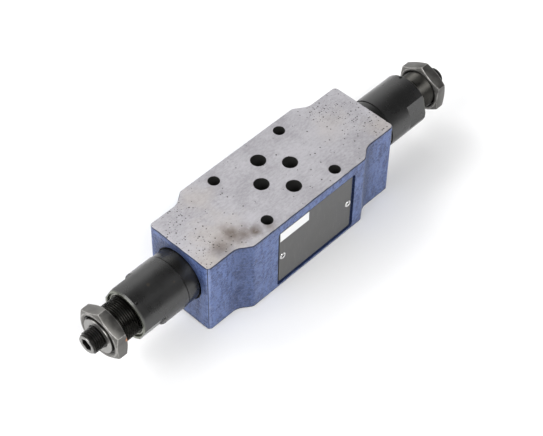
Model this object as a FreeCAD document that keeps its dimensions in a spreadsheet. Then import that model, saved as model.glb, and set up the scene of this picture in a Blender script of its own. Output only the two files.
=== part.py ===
import FreeCAD, Part
import Sketcher
import math
import os

# Hydraulic sandwich valve with two screw-in relief cartridges, millimetres
# Origin: centre of the block's underside
# +X runs to the B end, +Y to port P, +Z up, and the type plate faces -Y

doc = FreeCAD.newDocument("sandwich_valve")
dim = doc.addObject("Spreadsheet::Sheet", "dim")

sizes = {
    # valve body
    "bodyLength": 113.4,
    "bodyHeight": 40,
    "middleWidth": 43,
    "middleLength": 68.2,
    "shoulderRun": 6,
    "neckWidth": 34.5,
    "kneeRadius": 3,
    "hollowRadius": 7,
    "cornerRadius": 1.8,
    "edgeBreak": 0.4,
    # port and bolt pattern, placed from the line through ports P and T
    "patternX": 0.5,
    "portBore": 7,
    "portPitchY": 20.8,
    "portAX": 8.8,
    "portBX": 8.7,
    "boltBore": 5.4,
    "boltLeftX": 21.5,
    "boltRightX": 19,
    "boltLeftPitch": 31,
    "boltRightPitch": 32.5,
    # rings under the ports
    "portSealInner": 9.8,
    "portSealWidth": 1.5,
    "portSealDepth": 1.4,
    "portSealPlay": 0.1,
    # cartridge cavity, depths measured from the block's end face
    "axisHeight": 23.4,
    "passageBore": 6,
    "cavityDepth": 40,
    "noseBore": 11,
    "noseLandDepth": 34,
    "sleeveBore": 17,
    "chamberBore": 23,
    "chamberDepth": 30,
    "chamberLength": 7,
    "threadDepth": 15,
    "bodyThread": 22,
    "mouthChamfer": 0.9,
    "spotFaceBore": 25.5,
    "spotFaceDepth": 0.8,
    # return gallery from port T to both chambers
    "galleryBore": 5,
    "galleryY": 8.5,
    "galleryHeight": 13,
    "riserDepth": 26.5,
    "riserLength": 6.5,
    # type plate, its recess and its rivets
    "plateLength": 45,
    "plateHeight": 31,
    "plateThickness": 0.6,
    "plateCorner": 0.8,
    "plateCentreX": 3.6,
    "plateCentreHeight": 18.1,
    "recessDepth": 1.2,
    "recessPlay": 1.3,
    "recessCorner": 1.5,
    "rivetInset": 2,
    "rivetHead": 3.4,
    "rivetHeadHeight": 0.9,
    "rivetHeadBevel": 0.5,
    "rivetDimple": 1.2,
    "rivetDimpleDepth": 0.5,
    "rivetShank": 2,
    "rivetLength": 4,
    # cartridge housing
    "housingReach": 30.4,
    "housingBore": 14,
    "sleeveOuter": 25,
    "collarOuter": 24.5,
    "collarLength": 6.1,
    "collarGroove": 0.5,
    "collarGrooveDepth": 0.35,
    "endChamfer": 0.8,
    "flatsAcross": 22,
    "flatsLength": 11.5,
    "endRecessBore": 21.2,
    "endRecessDepth": 1.4,
    "sealUndercut": 19,
    "sealUndercutLength": 2,
    "threadLead": 1,
    "spigotLength": 3.5,
    "spigotOuter": 13,
    "wireHole": 1.4,
    "wireHoleInset": 1.9,
    "wireHoleDepth": 1.6,
    "drainBore": 1.8,
    "drainOffset": 7.4,
    "drainDepth": 12,
    "housingTurnA": -26,
    "housingTurnB": -14,
    # stop ring in the end recess
    "stopRingInner": 18.5,
    "stopRingOuter": 19.9,
    "stopRingThickness": 0.7,
    "stopRingArc": 335,
    # adjusting bush, its stem and the lock nut
    "bushThread": 18,
    "bushProud": 0.5,
    "bushChamfer": 0.8,
    "bushThreadLength": 22,
    "bushPilotLength": 7,
    "bushCountersink": 0.6,
    "stemThread": 10,
    "stemStand": 6,
    "stemDepth": 17,
    "stemChamfer": 0.9,
    "socketAcross": 5,
    "socketDepth": 5.5,
    "nutAcross": 22,
    "nutThickness": 6,
    "nutStand": 8.4,
    "nutFace": 21,
    "nutChamferSlope": 0.45,
    "nutBoreChamfer": 0.7,
    "adjustTravel": 6,
    # spring plate and the two springs
    "springPlateLength": 3.5,
    "springPlateBoss": 7.6,
    "springPlateBossLength": 1.5,
    "plateSealCord": 1.5,
    "pilotSpringWire": 1.3,
    "pilotSpringMean": 9.2,
    "pilotSpringTurns": 6,
    "mainSpringWire": 0.7,
    "mainSpringMean": 5.6,
    "mainSpringTurns": 7,
    "springRunsPerTurn": 12,
    "springWireSides": 6,
    # pilot seat and pilot cone
    "pilotSeatOuter": 8,
    "pilotSeatInset": 0.5,
    "pilotSeatLength": 7,
    "pilotHole": 2.4,
    "pilotCounterbore": 4,
    "pilotCounterboreDepth": 4,
    "conePoint": 0.8,
    "coneLength": 3,
    "coneStem": 5.2,
    "coneStemLength": 5,
    "coneFlange": 12.4,
    "coneFlangeThickness": 1,
    # ported sleeve and main piston
    "pistonBore": 10,
    "reliefBore": 11.6,
    "reliefLength": 5.5,
    "seatDepth": 32,
    "seatBore": 5.6,
    "sleeveWaist": 15.2,
    "waistDepth": 22.5,
    "sidePortBore": 4.2,
    "sidePortDepth": 29,
    "sidePortCount": 4,
    "noseSealCord": 1.6,
    "noseSealDepth": 37,
    "pistonLength": 10.6,
    "pistonLand": 4.2,
    "pistonWaist": 8,
    "pistonTip": 4.4,
    "pistonHollow": 7,
    "pistonFloor": 3.8,
    "pistonOrifice": 0.8,
    # ring at the body's mouth
    "threadSealCord": 1.2,
    # clearances
    "slideFit": 0.05,
    "threadFit": 0.05,
    "fixedFit": 0.03,
    "seatGap": 0.05,
    "sealSlack": 0.01,
    "endGap": 0.3,
}

for row, (name, value) in enumerate(sizes.items(), start=1):
    dim.set(f"A{row}", name)
    dim.set(f"B{row}", str(value))
    dim.setAlias(f"B{row}", name)
doc.recompute()

# Stations along a cartridge's axis, measured from the middle of the valve
bodyFace = "dim.bodyLength / 2"
noseFloor = f"({bodyFace} - dim.cavityDepth)"
noseShoulder = f"({bodyFace} - dim.noseLandDepth)"
chamberStart = f"({bodyFace} - dim.chamberDepth)"
chamberEnd = f"({chamberStart} + dim.chamberLength)"
threadStart = f"({bodyFace} - dim.threadDepth)"
riserStation = f"({bodyFace} - dim.riserDepth)"
seatStation = f"({bodyFace} - dim.seatDepth)"
waistStation = f"({bodyFace} - dim.waistDepth)"
sidePortStation = f"({bodyFace} - dim.sidePortDepth)"
noseSealStation = f"({bodyFace} - dim.noseSealDepth)"
collarSeat = f"({bodyFace} - dim.spotFaceDepth)"
collarEnd = f"({bodyFace} + dim.collarLength)"
housingEnd = f"({bodyFace} + dim.housingReach)"
recessFloor = f"({housingEnd} - dim.endRecessDepth)"
spigotStart = f"({threadStart} - dim.spigotLength)"
pilotSeatStart = f"({threadStart} + dim.pilotSeatInset)"
pilotSeatEnd = f"({pilotSeatStart} + dim.pilotSeatLength)"
nutInner = f"({housingEnd} + dim.nutStand)"
nutOuter = f"({nutInner} + dim.nutThickness)"
bushEnd = f"({nutOuter} + dim.bushProud)"
bushThreadStart = f"({bushEnd} - dim.bushThreadLength)"
bushStart = f"({bushThreadStart} - dim.bushPilotLength)"
bushShoulder = f"({bushThreadStart} - dim.adjustTravel - dim.seatGap)"
stemStart = f"({bushEnd} - dim.stemDepth)"
stemEnd = f"({bushEnd} + dim.stemStand)"
plateBack = f"({bushStart} - dim.seatGap)"
plateFront = f"({bushStart} - dim.springPlateLength)"
plateSealStation = f"(({plateBack} + {plateFront}) / 2)"
pistonTipAt = f"({seatStation} - (dim.seatBore - dim.pistonTip) / 2 + dim.seatGap)"
pistonEnd = f"({pistonTipAt} + dim.pistonLength)"
pistonFloorAt = f"({pistonTipAt} + dim.pistonFloor)"
coneSlope = "((dim.coneStem - dim.conePoint) / 2 / dim.coneLength)"
coneTipAt = f"({pilotSeatEnd} - (dim.pilotHole - dim.conePoint) / 2 / {coneSlope} + dim.seatGap)"
coneBack = f"({coneTipAt} + dim.coneLength)"
flangeBack = f"({coneBack} + dim.coneFlangeThickness)"
middleX = "(dim.patternX + (dim.boltRightX - dim.boltLeftX) / 2)"
frontY = "dim.middleWidth / 2"
plateFloorY = f"({frontY} - dim.recessDepth)"


def valueOf(expression):
    """Return the number that an expression of the sheet's cells stands for."""
    return float(dim.evalExpression(expression))


def newBody(label):
    body = doc.addObject("PartDesign::Body", label)
    body.Label = label
    return body


def sketchOn(body, name, role, offset="0"):
    """Sketch on one of the body's own origin planes, moved along its normal."""
    sketch = body.newObject("Sketcher::SketchObject", name)
    plane = next(item for item in body.Origin.OriginFeatures if item.Role == role)
    sketch.AttachmentSupport = [(plane, "")]
    sketch.MapMode = "FlatFace"
    sketch.setExpression("AttachmentOffset.Base.z", offset)
    return sketch


def setCoordinate(sketch, kind, axis, geometry, point, expression):
    """Hold one coordinate of a point at an expression's value, whatever its sign."""
    value = valueOf(expression)
    if abs(value) < 1e-9:
        sketch.addConstraint(Sketcher.Constraint("PointOnObject", geometry, point, axis))
        return
    if value > 0:
        ends = (-1, 1, geometry, point)
        bound = expression
    else:
        ends = (geometry, point, -1, 1)
        bound = f"-({expression})"
    index = sketch.addConstraint(Sketcher.Constraint(kind, *ends, abs(value)))
    sketch.setExpression(f"Constraints[{index}]", bound)


def pinPoint(sketch, geometry, point, across, along):
    setCoordinate(sketch, "DistanceX", -2, geometry, point, across)
    setCoordinate(sketch, "DistanceY", -1, geometry, point, along)


def addPolygon(sketch, points):
    """Closed outline through points given as pairs of expressions."""
    corners = [FreeCAD.Vector(valueOf(x), valueOf(y), 0) for x, y in points]
    first = sketch.GeometryCount
    count = len(corners)
    for index, corner in enumerate(corners):
        sketch.addGeometry(Part.LineSegment(corner, corners[(index + 1) % count]), False)
    for index in range(count):
        after = first + (index + 1) % count
        sketch.addConstraint(Sketcher.Constraint("Coincident", first + index, 2, after, 1))
    for index, (x, y) in enumerate(points):
        pinPoint(sketch, first + index, 1, x, y)


def addCircle(sketch, x, y, diameter):
    centre = FreeCAD.Vector(valueOf(x), valueOf(y), 0)
    circle = Part.Circle(centre, FreeCAD.Vector(0, 0, 1), valueOf(diameter) / 2)
    index = sketch.addGeometry(circle, False)
    pinPoint(sketch, index, 3, x, y)
    size = sketch.addConstraint(Sketcher.Constraint("Diameter", index, valueOf(diameter)))
    sketch.setExpression(f"Constraints[{size}]", diameter)


def addHexagon(sketch, across):
    """Regular hexagon round the sketch's origin with one corner on its upright axis."""
    radius = f"({across}) / sqrt(3)"
    size = valueOf(radius)
    frame = Part.Circle(FreeCAD.Vector(0, 0, 0), FreeCAD.Vector(0, 0, 1), size)
    ring = sketch.addGeometry(frame, True)
    sketch.addConstraint(Sketcher.Constraint("Coincident", ring, 3, -1, 1))
    turn = FreeCAD.Rotation(FreeCAD.Vector(0, 0, 1), 60)
    corner = FreeCAD.Vector(0, size, 0)
    sides = []
    for index in range(6):
        after = turn.multVec(corner)
        sides.append(sketch.addGeometry(Part.LineSegment(corner, after), False))
        corner = after
    for index, side in enumerate(sides):
        sketch.addConstraint(Sketcher.Constraint("Coincident", side, 2, sides[(index + 1) % 6], 1))
        sketch.addConstraint(Sketcher.Constraint("PointOnObject", side, 1, ring))
    for side in sides[1:5]:
        sketch.addConstraint(Sketcher.Constraint("Equal", sides[0], side))
    sketch.addConstraint(Sketcher.Constraint("PointOnObject", sides[0], 1, -2))
    limit = sketch.addConstraint(Sketcher.Constraint("Radius", ring, size))
    sketch.setExpression(f"Constraints[{limit}]", radius)


def revolve(body, name, points, kind="PartDesign::Revolution", offset="0", arc="360"):
    """Turn a profile of (station, radius) points about the sketch's level axis."""
    sketch = sketchOn(body, name + "Profile", "XY_Plane", offset)
    addPolygon(sketch, points)
    feature = body.newObject(kind, name)
    feature.Profile = (sketch, [""])
    feature.ReferenceAxis = (sketch, ["H_Axis"])
    feature.setExpression("Angle", arc)
    return feature


def extrude(body, name, sketch, kind, length=None, reversed=False, symmetric=False):
    feature = body.newObject(kind, name)
    feature.Profile = (sketch, [""])
    if length is None:
        feature.Type = "ThroughAll"
    else:
        feature.setExpression("Length", length)
    if symmetric:
        feature.SideType = "Symmetric"
    feature.Reversed = reversed
    return feature


def dressEdges(body, kind, name, sizeName, size, wanted):
    """Fillet or chamfer the edges of the body's tip that the wanted test picks."""
    doc.recompute()
    base = body.Tip
    names = [f"Edge{index}" for index, edge in enumerate(base.Shape.Edges, start=1) if wanted(edge)]
    feature = body.newObject(kind, name)
    feature.Base = (base, names)
    feature.setExpression(sizeName, size)
    return feature


def repeatRound(body, name, original, axisRole, count):
    """Repeat a feature evenly round one of the body's own axes."""
    axis = next(item for item in body.Origin.OriginFeatures if item.Role == axisRole)
    pattern = body.newObject("PartDesign::PolarPattern", name)
    pattern.Originals = [original]
    pattern.Axis = (axis, [""])
    pattern.Angle = 360
    pattern.setExpression("Occurrences", count)
    body.Tip = pattern
    return pattern


def layAlong(item, end, turn="0"):
    """Place a piece that was drawn along +X on the cartridge axis of one end."""
    heading = 180 if end == "a" else 0
    about = FreeCAD.Rotation(FreeCAD.Vector(0, 0, 1), heading)
    roll = FreeCAD.Rotation(FreeCAD.Vector(1, 0, 0), valueOf(turn))
    item.Placement = FreeCAD.Placement(FreeCAD.Vector(0, 0, 0), about.multiply(roll))
    item.setExpression("Placement.Base.z", "dim.axisHeight")


def addRing(label, end, start, finish, innerRadius, outerRadius):
    """Square-cut rubber ring on a cartridge's axis, between two stations."""
    ring = newBody(label)
    revolve(ring, "turned", [
        (start, innerRadius),
        (finish, innerRadius),
        (finish, outerRadius),
        (start, outerRadius),
    ])
    layAlong(ring, end)


def isUpright(edge):
    """True for a straight edge along Z."""
    if len(edge.Vertexes) != 2:
        return False
    step = edge.Vertexes[1].Point - edge.Vertexes[0].Point
    return abs(step.x) < 1e-6 and abs(step.y) < 1e-6


def isLevelRim(edge):
    """True for an edge that lies all in the top or the bottom face of the block."""
    box = edge.BoundBox
    height = valueOf("dim.bodyHeight")
    flat = box.ZLength < 1e-6
    return flat and (abs(box.ZMin) < 1e-6 or abs(box.ZMin - height) < 1e-6)


# Valve body

valveBody = newBody("valve_body")
outline = sketchOn(valveBody, "bodyOutline", "XY_Plane")
half = "dim.bodyLength / 2"
neck = "dim.neckWidth / 2"
wide = "dim.middleWidth / 2"
lowKnee = f"({middleX} - dim.middleLength / 2)"
highKnee = f"({middleX} + dim.middleLength / 2)"
frontSide = [
    (f"-{half}", f"-{neck}"),
    (f"{lowKnee} - dim.shoulderRun", f"-{neck}"),
    (lowKnee, f"-{wide}"),
    (highKnee, f"-{wide}"),
    (f"{highKnee} + dim.shoulderRun", f"-{neck}"),
    (half, f"-{neck}"),
]
backSide = [(x, y[1:]) for x, y in reversed(frontSide)]
addPolygon(outline, frontSide + backSide)
extrude(valveBody, "block", outline, "PartDesign::Pad", "dim.bodyHeight")


def isEndCorner(edge):
    return isUpright(edge) and abs(abs(edge.BoundBox.XMin) - valueOf(half)) < 1e-6


def isKnee(edge):
    return isUpright(edge) and abs(abs(edge.BoundBox.YMin) - valueOf(wide)) < 1e-6


def isHollow(edge):
    level = abs(abs(edge.BoundBox.YMin) - valueOf(neck)) < 1e-6
    return isUpright(edge) and level and not isEndCorner(edge)


dressEdges(valveBody, "PartDesign::Fillet", "knees", "Radius", "dim.kneeRadius", isKnee)
dressEdges(valveBody, "PartDesign::Fillet", "hollows", "Radius", "dim.hollowRadius", isHollow)
dressEdges(valveBody, "PartDesign::Fillet", "corners", "Radius", "dim.cornerRadius", isEndCorner)
dressEdges(valveBody, "PartDesign::Chamfer", "brokenEdges", "Size", "dim.edgeBreak", isLevelRim)

# Recess of the type plate in the front side
recess = sketchOn(valveBody, "recessOutline", "XZ_Plane", plateFloorY)
reach = "(dim.plateLength / 2 + dim.recessPlay)"
rise = "(dim.plateHeight / 2 + dim.recessPlay)"
addPolygon(recess, [
    (f"dim.plateCentreX - {reach}", f"dim.plateCentreHeight - {rise}"),
    (f"dim.plateCentreX + {reach}", f"dim.plateCentreHeight - {rise}"),
    (f"dim.plateCentreX + {reach}", f"dim.plateCentreHeight + {rise}"),
    (f"dim.plateCentreX - {reach}", f"dim.plateCentreHeight + {rise}"),
])
extrude(valveBody, "plateRecess", recess, "PartDesign::Pocket", "dim.recessDepth + 1", True)


def isRecessCorner(edge):
    box = edge.BoundBox
    floor = -valueOf(plateFloorY)
    return box.XLength < 1e-6 and box.ZLength < 1e-6 and abs(box.YMax - floor) < 1e-6


dressEdges(valveBody, "PartDesign::Fillet", "recessCorners", "Radius", "dim.recessCorner", isRecessCorner)

rivetReach = "(dim.plateLength / 2 - dim.rivetInset)"
rivetHoles = sketchOn(valveBody, "rivetHoleCentres", "XZ_Plane", plateFloorY)
for side in ("-", "+"):
    x = f"dim.plateCentreX {side} {rivetReach}"
    addCircle(rivetHoles, x, "dim.plateCentreHeight", "dim.rivetShank + 2 * dim.fixedFit")
rivetHoleDepth = "dim.rivetLength - dim.plateThickness + dim.endGap"
extrude(valveBody, "rivetHoles", rivetHoles, "PartDesign::Pocket", rivetHoleDepth)

# Ports right through, with a counterbore for each ring in the underside
portCentres = {
    "p": ("dim.patternX", "dim.portPitchY / 2"),
    "t": ("dim.patternX", "-dim.portPitchY / 2"),
    "a": ("dim.patternX - dim.portAX", "0"),
    "b": ("dim.patternX + dim.portBX", "0"),
}
ports = sketchOn(valveBody, "portCircles", "XY_Plane")
seats = sketchOn(valveBody, "sealSeatCircles", "XY_Plane")
for x, y in portCentres.values():
    addCircle(ports, x, y, "dim.portBore")
    addCircle(seats, x, y, "dim.portSealInner + 2 * dim.portSealWidth + dim.portSealPlay")
extrude(valveBody, "ports", ports, "PartDesign::Pocket", "dim.bodyHeight + 1", True)
extrude(valveBody, "sealSeats", seats, "PartDesign::Pocket", "dim.portSealDepth", True)

# Four bolt holes
bolts = sketchOn(valveBody, "boltCircles", "XY_Plane", "dim.bodyHeight")
for sign in ("", "-"):
    addCircle(bolts, "dim.patternX - dim.boltLeftX", f"{sign}dim.boltLeftPitch / 2", "dim.boltBore")
    addCircle(bolts, "dim.patternX + dim.boltRightX", f"{sign}dim.boltRightPitch / 2", "dim.boltBore")
doc.recompute()
boltHoles = valveBody.newObject("PartDesign::Hole", "boltHoles")
boltHoles.Profile = (bolts, [""])
doc.recompute()
boltHoles.DepthType = "ThroughAll"
boltHoles.setExpression("Diameter", "dim.boltBore")

# Cartridge cavity of the B end and the same one of the A end
cavity = revolve(valveBody, "cavity", [
    ("dim.portBX", "0"),
    ("dim.portBX", "dim.passageBore / 2"),
    (noseFloor, "dim.passageBore / 2"),
    (noseFloor, "dim.noseBore / 2"),
    (noseShoulder, "dim.noseBore / 2"),
    (noseShoulder, "dim.sleeveBore / 2"),
    (chamberStart, "dim.sleeveBore / 2"),
    (chamberStart, "dim.chamberBore / 2"),
    (chamberEnd, "dim.chamberBore / 2"),
    (chamberEnd, "dim.sleeveBore / 2"),
    (threadStart, "dim.sleeveBore / 2"),
    (threadStart, "dim.bodyThread / 2"),
    (f"{collarSeat} - dim.mouthChamfer", "dim.bodyThread / 2"),
    (collarSeat, "dim.bodyThread / 2 + dim.mouthChamfer"),
    (collarSeat, "dim.spotFaceBore / 2"),
    (f"{bodyFace} + 1", "dim.spotFaceBore / 2"),
    (f"{bodyFace} + 1", "0"),
], "PartDesign::Groove", "dim.axisHeight")
repeatRound(valveBody, "bothCavities", cavity, "Z_Axis", "2")

# Return gallery: a straight run under the cavities and a riser into each chamber
gallery = sketchOn(valveBody, "galleryCircle", "YZ_Plane")
addCircle(gallery, "-dim.galleryY", "dim.galleryHeight", "dim.galleryBore")
extrude(valveBody, "gallery", gallery, "PartDesign::Pocket", f"2 * {riserStation}", symmetric=True)
risers = sketchOn(valveBody, "riserCircles", "XY_Plane", "dim.galleryHeight")
for sign in ("", "-"):
    addCircle(risers, f"{sign}{riserStation}", "-dim.galleryY", "dim.galleryBore")
extrude(valveBody, "risers", risers, "PartDesign::Pocket", "dim.riserLength", True)

# Type plate
typePlate = newBody("type_plate")
sheetOutline = sketchOn(typePlate, "plateOutline", "XZ_Plane")
halfPlate = "dim.plateLength / 2"
halfTall = "dim.plateHeight / 2"
addPolygon(sheetOutline, [
    (f"-{halfPlate}", f"-{halfTall}"),
    (halfPlate, f"-{halfTall}"),
    (halfPlate, halfTall),
    (f"-{halfPlate}", halfTall),
])
extrude(typePlate, "sheet", sheetOutline, "PartDesign::Pad", "dim.plateThickness")
plateHoles = sketchOn(typePlate, "plateHoleCircles", "XZ_Plane")
for sign in ("", "-"):
    addCircle(plateHoles, f"{sign}{rivetReach}", "0", "dim.rivetShank + 4 * dim.fixedFit")
extrude(typePlate, "holes", plateHoles, "PartDesign::Pocket", "dim.plateThickness", True)


def isPlateCorner(edge):
    box = edge.BoundBox
    return len(edge.Vertexes) == 2 and box.XLength < 1e-6 and box.ZLength < 1e-6


dressEdges(typePlate, "PartDesign::Fillet", "roundCorners", "Radius", "dim.plateCorner", isPlateCorner)
typePlate.setExpression("Placement.Base.x", "dim.plateCentreX")
typePlate.setExpression("Placement.Base.y", f"-{plateFloorY}")
typePlate.setExpression("Placement.Base.z", "dim.plateCentreHeight")

# Drive rivets of the plate
for place, sign in (("left", "-"), ("right", "+")):
    rivet = newBody(f"plate_rivet_{place}")
    headTop = "(dim.rivetLength + dim.rivetHeadHeight)"
    revolve(rivet, "turned", [
        ("0", "0"),
        ("0", "dim.rivetShank / 2"),
        ("dim.rivetLength", "dim.rivetShank / 2"),
        ("dim.rivetLength", "dim.rivetHead / 2"),
        (f"{headTop} - dim.rivetHeadBevel", "dim.rivetHead / 2"),
        (headTop, "dim.rivetHead / 2 - dim.rivetHeadBevel"),
        (headTop, "dim.rivetDimple / 2"),
        (f"{headTop} - dim.rivetDimpleDepth", "dim.rivetDimple / 2"),
        (f"{headTop} - dim.rivetDimpleDepth", "0"),
    ])
    rivet.Placement = FreeCAD.Placement(
        FreeCAD.Vector(0, 0, 0), FreeCAD.Rotation(FreeCAD.Vector(0, 0, 1), -90)
    )
    rivet.setExpression("Placement.Base.x", f"dim.plateCentreX {sign} {rivetReach}")
    plateFaceY = f"({plateFloorY} + dim.plateThickness)"
    rivet.setExpression("Placement.Base.y", f"dim.rivetLength - {plateFaceY}")
    rivet.setExpression("Placement.Base.z", "dim.plateCentreHeight")

# Square-cut rings under the ports, pressed flush with the underside as when bolted down
for port, (x, y) in portCentres.items():
    ring = newBody(f"port_seal_{port}")
    rims = sketchOn(ring, "ringCircles", "XY_Plane")
    addCircle(rims, "0", "0", "dim.portSealInner")
    addCircle(rims, "0", "0", "dim.portSealInner + 2 * dim.portSealWidth")
    extrude(ring, "ring", rims, "PartDesign::Pad", "dim.portSealDepth")
    ring.setExpression("Placement.Base.x", x)
    ring.setExpression("Placement.Base.y", y)


def makeHousing(end):
    """Turned sleeve with the body thread, the wrench flats and the seal-wire hole."""
    housing = newBody(f"{end}_housing")
    pilotRadius = "dim.pilotSeatOuter / 2 + dim.fixedFit"
    threadFace = f"({threadStart} + dim.endGap)"
    threadRadius = "(dim.bodyThread / 2 - dim.threadFit)"
    sleeveStart = f"({collarEnd} + dim.collarGroove)"
    revolve(housing, "turned", [
        (spigotStart, pilotRadius),
        (spigotStart, "dim.spigotOuter / 2"),
        (threadFace, "dim.spigotOuter / 2"),
        (threadFace, f"{threadRadius} - dim.threadLead"),
        (f"{threadFace} + dim.threadLead", threadRadius),
        (f"{collarSeat} - dim.sealUndercutLength", threadRadius),
        (f"{collarSeat} - dim.sealUndercutLength", "dim.sealUndercut / 2"),
        (collarSeat, "dim.sealUndercut / 2"),
        (collarSeat, "dim.collarOuter / 2"),
        (collarEnd, "dim.collarOuter / 2"),
        (collarEnd, "dim.collarOuter / 2 - dim.collarGrooveDepth"),
        (sleeveStart, "dim.collarOuter / 2 - dim.collarGrooveDepth"),
        (sleeveStart, "dim.sleeveOuter / 2"),
        (f"{housingEnd} - dim.endChamfer", "dim.sleeveOuter / 2"),
        (housingEnd, "dim.sleeveOuter / 2 - dim.endChamfer"),
        (housingEnd, "dim.endRecessBore / 2"),
        (recessFloor, "dim.endRecessBore / 2"),
        (recessFloor, "dim.bushThread / 2 + dim.threadFit"),
        (bushShoulder, "dim.bushThread / 2 + dim.threadFit"),
        (bushShoulder, "dim.housingBore / 2"),
        (pilotSeatEnd, "dim.housingBore / 2"),
        (pilotSeatEnd, pilotRadius),
    ])
    flats = sketchOn(housing, "flatOutlines", "YZ_Plane", housingEnd)
    near = "dim.flatsAcross / 2"
    far = "dim.sleeveOuter / 2 + 1"
    tall = "dim.sleeveOuter / 2"
    for sign in ("", "-"):
        addPolygon(flats, [
            (f"{sign}({near})", f"-{tall}"),
            (f"{sign}({far})", f"-{tall}"),
            (f"{sign}({far})", tall),
            (f"{sign}({near})", tall),
        ])
    extrude(housing, "flats", flats, "PartDesign::Pocket", "dim.flatsLength")
    wire = sketchOn(housing, "wireHoleCircle", "XY_Plane", "dim.sleeveOuter / 2 - dim.wireHoleDepth")
    addCircle(wire, f"{housingEnd} - dim.wireHoleInset", "0", "dim.wireHole")
    extrude(housing, "wireHole", wire, "PartDesign::Pocket", "dim.wireHoleDepth + 1", True)
    drain = sketchOn(housing, "drainCircle", "YZ_Plane", threadStart)
    addCircle(drain, "0", "dim.drainOffset", "dim.drainBore")
    extrude(housing, "drain", drain, "PartDesign::Pocket", "dim.drainDepth", True)
    layAlong(housing, end, "dim.housingTurnA" if end == "a" else "dim.housingTurnB")


def makeStopRing(end):
    """Split spring ring on the floor of the end recess."""
    ring = newBody(f"{end}_stop_ring")
    front = f"({recessFloor} + dim.stopRingThickness)"
    revolve(ring, "turned", [
        (recessFloor, "dim.stopRingInner / 2"),
        (front, "dim.stopRingInner / 2"),
        (front, "dim.stopRingOuter / 2"),
        (recessFloor, "dim.stopRingOuter / 2"),
    ], arc="dim.stopRingArc")
    layAlong(ring, end)


def makeBush(end):
    """Adjusting bush: a plain pilot, the outer thread and a bore for the stem."""
    bush = newBody(f"{end}_adjusting_bush")
    pilot = "(dim.housingBore / 2 - dim.slideFit)"
    crest = "(dim.bushThread / 2 - dim.threadFit)"
    bore = "(dim.stemThread / 2 + dim.fixedFit)"
    revolve(bush, "turned", [
        (bushStart, "0"),
        (bushStart, f"{pilot} - dim.bushCountersink"),
        (f"{bushStart} + dim.bushCountersink", pilot),
        (bushThreadStart, pilot),
        (bushThreadStart, f"{crest} - dim.bushChamfer"),
        (f"{bushThreadStart} + dim.bushChamfer", crest),
        (f"{bushEnd} - dim.bushChamfer", crest),
        (bushEnd, f"{crest} - dim.bushChamfer"),
        (bushEnd, f"{bore} + dim.bushCountersink"),
        (f"{bushEnd} - dim.bushCountersink", bore),
        (f"{stemStart} - dim.endGap", bore),
        (f"{stemStart} - dim.endGap", "0"),
    ])
    layAlong(bush, end)


def makeStem(end):
    """Stem with the hexagon socket, fixed in the bush."""
    stem = newBody(f"{end}_hex_stem")
    revolve(stem, "turned", [
        (stemStart, "0"),
        (stemStart, "dim.stemThread / 2 - dim.stemChamfer"),
        (f"{stemStart} + dim.stemChamfer", "dim.stemThread / 2"),
        (f"{stemEnd} - dim.stemChamfer", "dim.stemThread / 2"),
        (stemEnd, "dim.stemThread / 2 - dim.stemChamfer"),
        (stemEnd, "0"),
    ])
    socket = sketchOn(stem, "socketHexagon", "YZ_Plane", stemEnd)
    addHexagon(socket, "dim.socketAcross")
    extrude(stem, "socket", socket, "PartDesign::Pocket", "dim.socketDepth")
    layAlong(stem, end)


def makeNut(end):
    """Hexagon lock nut, chamfered on both faces."""
    nut = newBody(f"{end}_lock_nut")
    hexagon = sketchOn(nut, "nutHexagon", "YZ_Plane", nutInner)
    addHexagon(hexagon, "dim.nutAcross")
    extrude(nut, "prism", hexagon, "PartDesign::Pad", "dim.nutThickness")
    bore = "(dim.bushThread / 2 + dim.threadFit)"
    revolve(nut, "bore", [
        (f"{nutInner} - dim.nutBoreChamfer", "0"),
        (f"{nutInner} - dim.nutBoreChamfer", f"{bore} + 2 * dim.nutBoreChamfer"),
        (f"{nutInner} + dim.nutBoreChamfer", bore),
        (f"{nutOuter} - dim.nutBoreChamfer", bore),
        (f"{nutOuter} + dim.nutBoreChamfer", f"{bore} + 2 * dim.nutBoreChamfer"),
        (f"{nutOuter} + dim.nutBoreChamfer", "0"),
    ], "PartDesign::Groove")
    face = "dim.nutFace / 2"
    rim = "dim.nutAcross"
    drop = f"(({rim} - {face}) * dim.nutChamferSlope)"
    for name, station, inward in (("innerChamfer", nutInner, "+"), ("outerChamfer", nutOuter, "-")):
        revolve(nut, name, [
            (station, face),
            (station, rim),
            (f"{station} {inward} {drop}", rim),
        ], "PartDesign::Groove")
    layAlong(nut, end)


def makeSpringPlate(end):
    """Spring plate with its ring's groove and a boss that centres the spring."""
    plate = newBody(f"{end}_spring_plate")
    rim = "(dim.housingBore / 2 - dim.slideFit)"
    bossFront = f"({plateFront} - dim.springPlateBossLength)"
    grooveHalf = "(dim.plateSealCord / 2 + dim.fixedFit)"
    grooveFloor = f"({rim} - dim.plateSealCord)"
    revolve(plate, "turned", [
        (bossFront, "0"),
        (bossFront, "dim.springPlateBoss / 2"),
        (plateFront, "dim.springPlateBoss / 2"),
        (plateFront, rim),
        (f"{plateSealStation} - {grooveHalf}", rim),
        (f"{plateSealStation} - {grooveHalf}", grooveFloor),
        (f"{plateSealStation} + {grooveHalf}", grooveFloor),
        (f"{plateSealStation} + {grooveHalf}", rim),
        (plateBack, rim),
        (plateBack, "0"),
    ])
    layAlong(plate, end)
    addRing(
        f"{end}_plate_seal", end,
        f"{plateSealStation} - dim.plateSealCord / 2", f"{plateSealStation} + dim.plateSealCord / 2",
        f"{grooveFloor} + dim.sealSlack", "dim.housingBore / 2 - dim.sealSlack",
    )


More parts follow.
